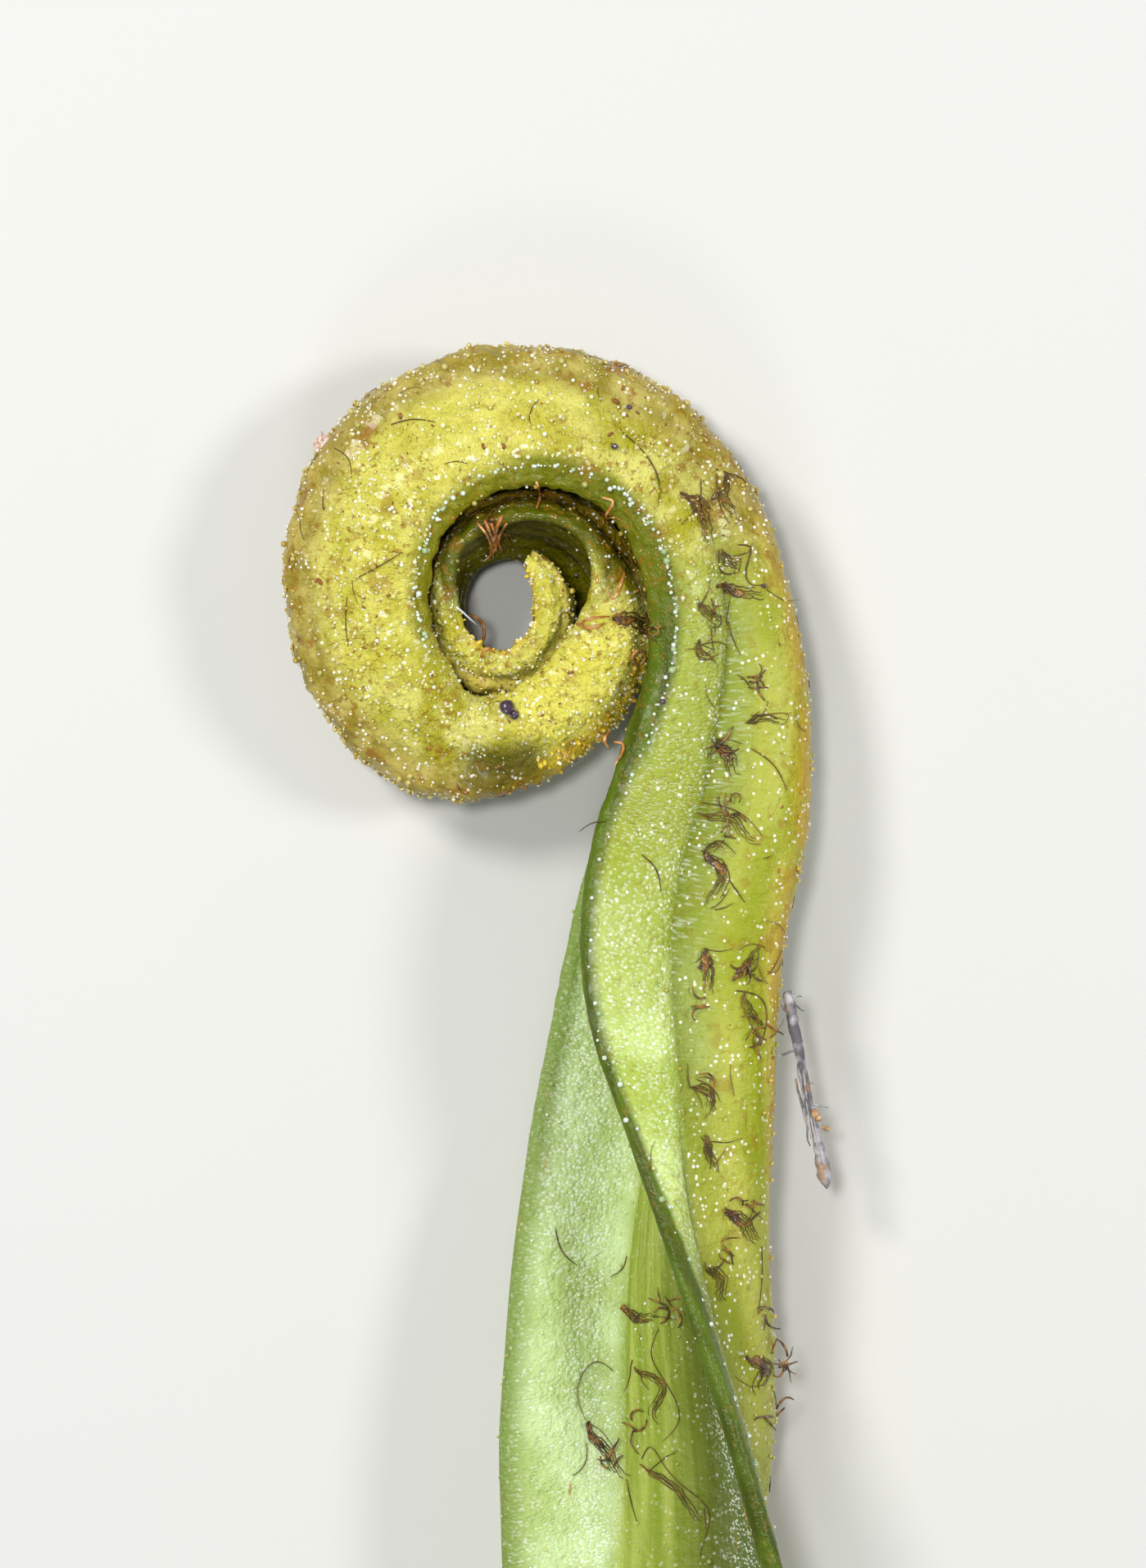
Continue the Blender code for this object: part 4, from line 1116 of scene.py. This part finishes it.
def scale_lines(path, width):
    """The lattice of one scale: near-parallel lines that meet at one end, a few bars, and loose hairs."""
    share, middle, across_way = path
    count = max(4, round(width / 0.075))
    fan = 0.15 + 0.85 * rise(share, -1.0, -0.35)
    rows, lines = [], []
    for offset in np.linspace(-1, 1, count) * 0.62 + draw.normal(0, 0.05, count):
        first, last = draw.integers(0, 5), draw.integers(17, SCALE_POINTS)
        ripple = 0.012 * np.sin(share * 14 + draw.random() * 2) + 0.008 * np.sin(share * 27 + offset * 9)
        flat = middle + across_way * (offset * fan * width / 2 + ripple)[:, None]
        rows.append(flat)
        piece = flat[first:last + 1]
        lines.append((drape(piece, draw.uniform(0.015, 0.045)),
                      taper(len(piece), draw.uniform(0.010, 0.017), 0.9, 0.5)))
    for one, two in zip(rows, rows[1:]):
        for place in range(4, 20):
            if draw.random() < 0.10:
                lines.append((drape(np.array([one[place], two[place]]), 0.03), np.full(2, 0.008)))
    for _ in range(draw.integers(1, 4)):
        place = draw.choice([0, 1, 4, MIDDLE, 20, LAST])
        heading = math.atan2(across_way[place, 1], across_way[place, 0]) + draw.uniform(-2.6, 0.6)
        flat = hair(rows[draw.integers(0, count)][place], heading, draw.uniform(0.3, 0.9), 0.8)
        lines.append((drape(flat, 0.03), taper(len(flat), draw.uniform(0.009, 0.014), 1.0, 0.5)))
    return lines


print("points along a scale:", SCALE_POINTS)

# %% Make the heart of a scale


def scale_heart(name, path, width):
    """The crumpled, torn brown part of a scale: a grid primitive laid along the path and draped."""
    deselect_all()
    bpy.ops.mesh.primitive_grid_add(x_subdivisions=LAST, y_subdivisions=4, size=2)
    heart = bpy.context.object
    heart.name = name
    share, middle, across_way = path
    seed = Vector(draw.uniform(0, 50, 3))
    end = draw.uniform(-0.15, 0.45)
    for vert in heart.data.vertices:
        at = -1 + (vert.co.x + 1) / 2 * (end + 1)
        place = np.array([np.interp(at, share, middle[:, axis]) for axis in (0, 1)])
        side = np.array([np.interp(at, share, across_way[:, axis]) for axis in (0, 1)])
        torn = 0.10 + 0.75 * abs(noise.noise(Vector((at * 3.5, 0.0, vert.co.y * 0.6)) + seed))
        swing = 0.30 * noise.noise(Vector((at * 2.5, 4.0, 0.0)) + seed)
        flat = place + side * width * (vert.co.y * torn * (1 - abs(vert.co.x)**4) * 0.7 + swing)
        fx, fy, _ = to_frame((*flat, 0))
        ground = height_at(fx, fy)
        ground = ground if ground is not None else height_at(*to_frame((*place, 0))[:2]) or 0.0
        crumple = 0.05 + 0.09 * noise.noise(Vector((at * 5, vert.co.y * 2.5, 0)) + seed)
        vert.co = (fx, fy, ground + crumple * MM)
    return heart


def thicken(piece, thickness):
    """Gives a sheet a thickness, to both sides of it."""
    bpy.context.view_layer.objects.active = piece
    modifier = piece.modifiers.new("thickness", "SOLIDIFY")
    modifier.thickness = thickness * MM
    modifier.offset = 0.0
    bpy.ops.object.modifier_apply(modifier=modifier.name)
    bpy.ops.object.shade_smooth()


def joined(name, pieces):
    """Joins pieces into the first of them, under a new name."""
    deselect_all()
    for piece in pieces:
        piece.select_set(True)
    bpy.context.view_layer.objects.active = pieces[0]
    if len(pieces) > 1:
        bpy.ops.object.join()
    result = bpy.context.view_layer.objects.active
    result.name = result.data.name = name
    return result


HEART_THICKNESS = 0.02
print("heart thickness, mm:", HEART_THICKNESS)

# %% Make every scale
for number, (x, y, bearing, length, width) in enumerate(SCALES, 1):
    path = scale_path(x, y, bearing, length)
    parts = [strands("lattice", scale_lines(path, width))]
    parts[0].data.materials.append(hair_finish)
    if number in HEARTED:
        heart = scale_heart("heart", path, width)
        heart.data.materials.append(heart_finish)
        deselect_all()
        heart.select_set(True)
        thicken(heart, HEART_THICKNESS)
        parts.append(heart)
    piece = joined(f"lattice_scale_{number:02d}", parts)
    add_piece(piece, "scale_tissue", f"scale_{number:02d}")
print("scales made:", number)

# %% [markdown]
# ## Loose hairs and curls
#
# Many scales have broken down to a single hair, which lies in a loop on the skin. The route of each one
# that can be seen well is a short list of points, and the rest are drawn at random on the midrib and the
# coil. Inside the coil, young scales dry to orange curls that stand up.

# %% Say where the hairs, curls and tangles lie
HAIRS = (
    ((4.46, 2.68), (4.43, 2.18), (4.03, 1.67)),
    ((4.82, 2.92), (4.93, 1.98), (5.09, 1.71)),
    ((4.86, 1.12), (4.99, 0.61), (5.26, 0.65), (5.33, 0.97)),
    ((5.29, 1.24), (5.53, 1.21), (5.45, 0.58), (5.56, 0.38), (5.87, 0.38)),
    ((5.06, -0.43), (5.17, -0.83), (5.33, -1.19)),
    ((4.16, -1.06), (4.43, -1.06), (4.86, -1.46)),
    ((5.56, -2.50), (5.96, -2.47), (6.39, -2.50), (6.30, -2.70)),
    ((5.56, -3.22), (6.07, -3.60), (6.35, -4.14)),
    ((4.50, -4.41), (5.36, -4.66), (5.80, -5.13)),
    ((4.50, -5.53), (4.84, -5.24), (5.22, -5.53)),
    ((5.08, -6.10), (5.42, -6.59)),
    ((3.17, -5.54), (3.47, -5.85), (3.58, -6.34)),
    ((4.59, -7.69), (4.70, -8.10), (4.64, -8.51)),
    ((5.18, -8.23), (5.65, -8.03), (5.72, -7.54)),
    ((5.22, -8.51), (5.80, -8.71), (5.90, -9.23), (5.76, -9.72)),
    ((4.36, -10.44), (4.70, -10.62), (4.88, -10.93)),
    ((4.46, -11.70), (4.66, -11.97), (4.66, -12.40)),
    ((5.80, -14.13), (5.81, -14.85), (5.72, -15.59)),
    ((6.03, -17.21), (6.14, -17.59), (6.14, -17.91)),
    ((2.75, -15.59), (3.11, -15.79), (3.40, -15.73)),
    ((3.53, -15.93), (3.38, -16.52), (3.55, -16.88), (3.96, -17.95), (3.64, -18.36)),
    ((2.54, -16.90), (2.20, -16.70), (1.78, -17.21), (1.94, -17.96)),
    ((2.84, -19.26), (2.93, -19.71), (3.06, -20.16)),
    ((3.17, -18.79), (3.33, -18.52), (3.69, -18.95), (4.64, -20.00), (4.59, -20.27), (4.43, -20.84)),
    ((2.75, 3.69), (3.29, 3.15), (3.56, 2.43), (3.51, 2.07)),
    ((-3.01, 0.52), (-2.47, 0.81), (-2.05, 1.06)),
    ((-3.28, 0.09), (-3.31, -0.45), (-3.26, -0.99)),
    ((-3.58, 3.37), (-3.28, 3.15), (-3.19, 2.70)),
    ((2.38, -4.81), (2.07, -4.86), (1.80, -5.04)),
    ((-2.32, 3.87), (-1.84, 3.98), (-1.35, 3.91)),
    ((1.28, -13.77), (1.46, -14.31), (1.76, -14.58)),
    ((2.84, -14.40), (2.75, -14.67), (2.48, -14.85)),
    ((1.67, -19.17), (1.89, -18.99), (1.96, -18.45)),
)
CURLS = (
    ((2.48, -2.84), (2.36, -3.02), (2.47, -3.22)),
    ((2.57, -3.08), (2.72, -3.11), (2.57, -3.60)),
    ((0.86, 2.61), (0.94, 2.34), (0.86, 2.03)),
    ((2.30, 2.25), (2.54, 2.14), (2.39, 1.85), (2.57, 1.82)),
    ((2.79, 0.63), (2.70, 0.34), (2.52, 0.05), (2.43, 0.20)),
    ((-0.61, -0.27), (-0.34, -0.45), (-0.38, -0.90), (-0.70, -0.95)),
    ((-0.34, -1.22), (-0.23, -1.03), (-0.05, -1.12)),
    ((-0.43, 1.71), (-0.22, 1.44), (-0.09, 0.97)),
    ((-0.27, 1.78), (-0.13, 1.44), (-0.02, 1.13)),
    ((0.11, 1.85), (-0.07, 1.44), (-0.18, 0.99)),
    ((0.22, 1.71), (0.02, 1.35), (0.11, 1.13)),
    ((-0.13, 1.71), (-0.05, 1.21), (-0.31, 0.92)),
    ((1.76, -0.50), (2.07, -0.38), (2.45, -0.34)),
    ((1.76, -0.50), (1.96, -0.59), (2.36, -0.49)),
    ((3.10, -1.39), (2.97, -1.24), (3.10, -1.08), (3.24, -1.22), (3.13, -1.39)),
)
TANGLES = (
    (6.20, -16.70, 9), (3.75, -15.40, 7), (4.85, -3.20, 7), (5.10, -4.60, 6), (4.90, -5.20, 5),
    (5.50, -8.20, 6), (5.75, -9.40, 6), (5.55, -13.20, 6), (5.00, -14.20, 5), (3.20, -0.60, 8),
    (2.55, -18.95, 5), (5.60, -1.80, 6), (4.75, -0.35, 4), (4.62, -8.90, 5), (5.95, -15.60, 4),
    (2.95, -18.10, 4), (4.80, 2.10, 4), (-0.12, 1.62, 5), (4.62, -10.60, 3), (6.02, -17.90, 4),
)
print("hair routes:", len(HAIRS), "curl routes:", len(CURLS), "tangles:", len(TANGLES))

# %% Lay the hairs


def crawl(place, normal, length, curl):
    """A hair that hugs the skin in any direction, from a place on it."""
    heading = np.cross(normal, draw.normal(0, 1, 3))
    heading /= np.linalg.norm(heading)
    bend, points = draw.normal(0, curl), []
    for _ in range(max(3, int(length / HAIR_STEP))):
        points.append(place + normal * 0.03 * MM)
        bend = bend * 0.9 + draw.normal(0, curl * 0.3)
        heading = heading + np.cross(normal, heading) * bend * 0.12
        spot = tree.find_nearest(Vector(place + heading * HAIR_STEP * MM))
        moved, normal = np.array(spot[0]), np.array(spot[1])
        heading = moved - place
        heading /= max(np.linalg.norm(heading), 1e-9)
        place = moved
    return np.array(points)


hair_lines = []
for route in HAIRS:
    line = drape(through(route), 0.035)
    hair_lines.append((line, taper(len(line), draw.uniform(0.012, 0.018), 0.8, 0.5)))
hair_density = z_out * (0.26 * z_rib + 0.10 + 2.0 * rise(z_turn, 370, 400) * rise(z_turn, 560, 520))
hair_density *= rise(z_turn, -45, -36)
for place, normal, _ in zip(*spots(hair_density)):
    line = crawl(place, normal, draw.uniform(0.3, 0.9), 1.8)
    hair_lines.append((line, taper(len(line), draw.uniform(0.008, 0.014), 0.8, 0.5)))
loose_hairs = strands("loose_hairs", hair_lines, 0)
print("hairs:", len(hair_lines))

# %% Lay the tangles and the curls
tangle_lines = []
for x, y, count in TANGLES:
    for _ in range(count):
        flat = hair((x, y) + draw.normal(0, 0.09, 2), draw.uniform(0, 6.28), draw.uniform(0.3, 0.6), 3.0)
        line = drape(flat, draw.uniform(0.02, 0.14))
        tangle_lines.append((line, taper(len(line), draw.uniform(0.016, 0.034), 0.8, 0.5)))
tangles = strands("tangles", tangle_lines, 1)
curl_lines = []
for route in CURLS:
    line = drape(through(route, 0.05), 0.05)
    line[:, 2] += np.sin(np.linspace(0, math.pi, len(line))) * draw.uniform(0.05, 0.25) * MM
    curl_lines.append((line, taper(len(line), draw.uniform(0.030, 0.045), 0.9, 0.5)))
curls = strands("dry_curls", curl_lines, 2)
pale_line = to_frame([(-0.88, -0.14, 1.6), (-0.74, -0.25, 1.5), (-0.58, -0.40, 1.4), (-0.44, -0.52, 1.2)])
white_hair = strands("white_hair", [(pale_line, [0.022, 0.020, 0.018, 0.012])], 2)
silver = Finish("silver_hair")
white_hair.data.materials.append(silver.shader(Base_Color=(0.72, 0.76, 0.82), Roughness=0.3))
print("tangled hairs:", len(tangle_lines), "curls:", len(curl_lines))

# %% [markdown]
# ## Rusty crumbs
#
# Between the gland heads lie crumbs of broken scale. They are the same low ball, pressed flat on the skin.

# %% Scatter the crumbs
crumb_density = z_out * (5.0 * z_young + 1.6 * z_rib)
places, normals, _ = spots(crumb_density)
stay = draw.random(len(places)) < np.clip(clumps(places, 1.2) * 3 - 1.1, 0.02, 1)
places, normals = places[stay], normals[stay]
sizes = 0.020 * np.exp(draw.normal(0, 0.5, len(places)))
lengthwise = np.cross(normals, draw.normal(0, 1, normals.shape))
lengthwise /= np.linalg.norm(lengthwise, axis=1)[:, None]
crumbs = balls("rusty_crumbs", places, sizes, lengthwise * 0.9)
print("crumbs:", len(places))

# %% Give the loose dry parts their finish
for piece, finish in ((loose_hairs, hair_finish), (tangles, heart_finish), (curls, curl_finish),
                      (crumbs, crumb_finish)):
    piece.data.materials.append(finish)
    add_piece(piece, "scale_tissue")
add_piece(white_hair, "scale_tissue")
print("dry parts finished")

# %% [markdown]
# ## The splinter
#
# A weathered grey fibre is stuck to the glands beside the midrib. It starts as a cylinder primitive, and
# bisect cuts it along its length into many rings. Each ring is then made thicker or thinner, flatter
# towards the far end, and lumpy with noise. A few tan nodes and loose fibres sit on it.

# %% Make the splinter
SPLINTER = ((6.36, -8.55, 0.30), (7.26, -12.90, -0.35))
SPLINTER_RADIUS = 0.125
SPLINTER_CUTS = 40
start, end = (Vector(to_frame(point)) for point in SPLINTER)
deselect_all()
splinter_length = (end - start).length
bpy.ops.mesh.primitive_cylinder_add(vertices=12, radius=SPLINTER_RADIUS * MM, depth=splinter_length)
splinter = bpy.context.object
bpy.ops.object.mode_set(mode="EDIT")
for cut in range(1, SPLINTER_CUTS):
    bpy.ops.mesh.select_all(action="SELECT")
    height = (cut / SPLINTER_CUTS - 0.5) * splinter_length
    bpy.ops.mesh.bisect(plane_co=(0, 0, height), plane_no=(0, 0, 1))
bpy.ops.object.mode_set(mode="OBJECT")
for vert in splinter.data.vertices:
    share = vert.co.z / splinter_length + 0.5
    girth = 0.75 + 0.25 * math.sin(share * 9) + 0.3 * math.exp(-((share - 0.93) / 0.06)**2)
    girth *= 1 - 0.75 * max(0.0, (share - 0.95) / 0.05)
    lump = 1 + 0.6 * noise.noise(vert.co * 9000)
    vert.co.x *= girth * lump
    vert.co.y *= girth * lump * (1 - 0.45 * max(0.0, share - 0.7))
splinter.rotation_euler = (end - start).to_track_quat("Z", "Y").to_euler()
splinter.location = (start + end) / 2
bpy.ops.object.transform_apply(location=True, rotation=True, scale=True)
bpy.ops.object.shade_smooth()
print("splinter length, mm:", round(splinter_length / MM, 2))

# %% Add the fibres and the tan nodes
SIDE_FIBRES = (  # share of the way down, side and length
    (0.02, 1, 0.5), (0.06, 1, 0.35), (0.10, -1, 0.3), (0.30, -1, 0.8),
    (0.45, 1, 0.25), (0.56, 1, 0.6), (0.68, 1, 0.35),
)
SURFACE_FIBRES = 14
TAN_NODES = (  # share of the way down, offset and radius
    (0.62, (0.05, 0, 0.06), 0.13), (0.645, (0.12, 0.02, 0.05), 0.10),
    (0.70, (0.28, 0.02, 0.03), 0.07), (0.69, (0.20, 0.0, 0.02), 0.06),
)
fibre_lines = []
for share, side, length in SIDE_FIBRES:
    root = np.array(start.lerp(end, share)) / MM
    way = np.array([0.75 * side, -0.5 + 0.6 * draw.random(), 0.2])
    reach = np.linspace(0, 1, 8)[:, None]
    wobble = np.cumsum(draw.normal(0, 0.02, (8, 3)), axis=0)
    fibre_lines.append(((root + way * reach * length + wobble) * MM, taper(8, 0.028, 1.0, 0.4)))
for _ in range(SURFACE_FIBRES):
    share = np.sort(draw.uniform(0, 1, 2))
    line = np.linspace(start.lerp(end, share[0]), start.lerp(end, share[1]), 14)
    line += draw.normal(0, 0.07, 3) * MM + np.cumsum(draw.normal(0, 0.012, (14, 3)), axis=0) * MM
    fibre_lines.append((line, taper(14, draw.uniform(0.02, 0.035), 0.7, 0.4)))
fibres = strands("fibres", fibre_lines, 1)
splinter = joined("grey_splinter", [splinter, fibres])
tan_places = np.array([start.lerp(end, share) + Vector(offset) * MM for share, offset, _ in TAN_NODES])
splinter_nodes = balls("splinter_nodes", tan_places, np.array([radius for _, _, radius in TAN_NODES]))
print("fibres:", len(fibre_lines), "tan nodes:", len(TAN_NODES))

# %% Give the splinter its finish
wood = Finish("splinter_fibre")
weathered = wood.mix(wood.rise(wood.grain(0.35, 4.0), 0.40, 0.65), (0.13, 0.12, 0.14), (0.52, 0.50, 0.52))
weathered = wood.mix(wood.rise(wood.grain(0.5, 2.0), 0.58, 0.70), weathered, (0.42, 0.26, 0.16))
splinter.data.materials.clear()
splinter.data.materials.append(wood.shader(
    Base_Color=weathered, Roughness=wood.grain(0.2) * 0.4 + 0.3, Coat_Weight=0.2, Coat_Roughness=0.2,
    Normal=wood.bump(wood.grain(0.05, 3.0), 0.03)))
tan_finish = brown_finish("tan_node", (0.42, 0.24, 0.10), (0.66, 0.48, 0.28), 0.4, 0.2)
splinter_nodes.data.materials.append(tan_finish)
add_piece(splinter, "splinter_fibre", "splinter")
add_piece(splinter_nodes, "splinter_fibre")
print("splinter finished")

# %% [markdown]
# ## The pink grain and the dark beads
#
# The grain is a crumbly lump with a bright hair on it: a ball primitive with a coarse and a fine cloud
# displacement. The dark bead is a smooth drop with a smaller twin. A few more dark beads, much smaller, sit
# on the coil.

# %% Make the grain


def lumpy_ball(name, place, radius, rough):
    """A finely divided ball, roughened along its normals."""
    deselect_all()
    bpy.ops.mesh.primitive_ico_sphere_add(subdivisions=4, radius=radius * MM, location=place)
    ball = bpy.context.object
    ball.name = ball.data.name = name
    bpy.ops.object.transform_apply(location=True, rotation=True, scale=True)
    if rough:
        everywhere = np.ones(len(ball.data.vertices))
        relief(ball, "lumps", everywhere, radius * 0.9, radius * rough)
        relief(ball, "grit", everywhere, radius * 0.3, radius * rough * 0.4)
    bpy.ops.object.shade_smooth()
    return ball


grain_middle = Vector((grain_low + grain_high) / 2)
grain = lumpy_ball("grain_lump", grain_middle, 0.19, 1.1)
crust = lumpy_ball("grain_crust", grain_middle + Vector((0.10, 0.09, 0.10)) * MM, 0.11, 1.1)
GRAIN_STALK = np.array([[0.0, 0.05, 0.05], [0.02, 0.16, 0.12], [0.0, 0.30, 0.14]])
stalk_points = np.array(grain_middle) / MM + GRAIN_STALK
stalk = strands("grain_stalk", [(stalk_points * MM, [0.035, 0.028, 0.016])])
grain = joined("pink_lump", [grain, crust, stalk])
crumbly = Finish("grain_crust")
pink = crumbly.mix(crumbly.rise(crumbly.grain(0.10, 3.0), 0.40, 0.62), (0.62, 0.32, 0.20), (0.94, 0.80, 0.72))
grain.data.materials.clear()
grain.data.materials.append(crumbly.shader(
    Base_Color=pink, Roughness=0.55, Subsurface_Weight=0.2, Subsurface_Scale=0.08 * MM,
    Normal=crumbly.bump(crumbly.grain(0.04, 3.0), 0.02)))
add_piece(grain, "grain_crust", "pink_grain")
print("grain triangles:", sum(len(face.vertices) - 2 for face in grain.data.polygons))

# %% Make the beads
SMALL_BEADS = (  # x, y and radius
    (5.85, 0.34, 0.05), (2.57, 3.37, 0.075), (2.90, 4.25, 0.06), (3.63, -2.20, 0.06), (1.74, 0.60, 0.05),
)
bead_low, bead_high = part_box("dark_bead")
bead_middle = (bead_low + bead_high) / 2
bead = lumpy_ball("bead", bead_middle, 0.17, 0.25)
twin = lumpy_ball("twin", bead_middle + Vector((0.17, -0.16, -0.04)) * MM, 0.11, 0.25)
bead_pieces = [bead, twin]
for x, y, radius in SMALL_BEADS:
    fx, fy, _ = to_frame((x, y, 0))
    bead_pieces.append(lumpy_ball("small_bead", (fx, fy, height_at(fx, fy) + radius * 0.6 * MM), radius, 0.25))
bead = joined("dark_beads", bead_pieces)
glossy = Finish("bead_gloss")
violet = glossy.mix(glossy.grain(0.15), (0.020, 0.012, 0.022), (0.10, 0.05, 0.10))
bead.data.materials.clear()
bead.data.materials.append(glossy.shader(
    Base_Color=violet, Roughness=0.14, Coat_Weight=1.0, Coat_Roughness=0.05,
    Normal=glossy.bump(glossy.grain(0.05, 2.0), 0.01)))
add_piece(bead, "bead_gloss", "dark_bead")
print("beads:", len(bead_pieces))

# %% [markdown]
# ## Floor and light
#
# The frond lies on a plain pale floor. One large soft light stands above its left shoulder, a smaller one
# above the right, and a third beside the camera, which reaches into the coil and gives every wet gland
# head its highlight. A weak one lights it from the stalk's end, and an even pale world fills in the
# shadows. Lights are this weak because they stand only a hand's breadth away.

# %% Set the floor and the lights
deselect_all()
bpy.ops.mesh.primitive_plane_add(size=1.2, location=(0, 0, cad_box[0].z))
floor = bpy.context.object
floor.name = "floor"
bpy.ops.object.transform_apply(location=True, rotation=True, scale=True)
pale = Finish("pale_floor")
floor.data.materials.append(pale.shader(Base_Color=(0.66, 0.66, 0.64), Roughness=0.6))


def soft_light(name, place_mm, size_mm, watts, colour):
    """A round area light that points at the middle of the view."""
    data = bpy.data.lights.new(name, "AREA")
    data.shape = "DISK"
    data.size = size_mm * MM
    data.energy = watts
    data.color = colour
    lamp = bpy.data.objects.new(name, data)
    lamp.location = Vector(place_mm) * MM
    lamp.rotation_euler = (Vector(to_frame(VIEW_CENTRE)) - lamp.location).to_track_quat("-Z", "Y").to_euler()
    bpy.context.scene.collection.objects.link(lamp)


soft_light("key", (-95, 95, 150), 50, 0.20, (1.0, 0.98, 0.94))
soft_light("side", (120, 30, 120), 40, 0.11, (1.0, 0.99, 0.97))
soft_light("overhead", (-22, 26, 185), 26, 0.13, (1.0, 1.0, 0.98))
soft_light("front", (-20, -120, 110), 40, 0.04, (0.97, 0.98, 1.0))
world = bpy.data.worlds.new("soft_world")
world.use_nodes = True
world.node_tree.nodes["Background"].inputs["Color"].default_value = (0.90, 0.93, 1.0, 1.0)
world.node_tree.nodes["Background"].inputs["Strength"].default_value = 0.24
bpy.context.scene.world = world
bpy.context.scene.view_settings.view_transform = "Standard"
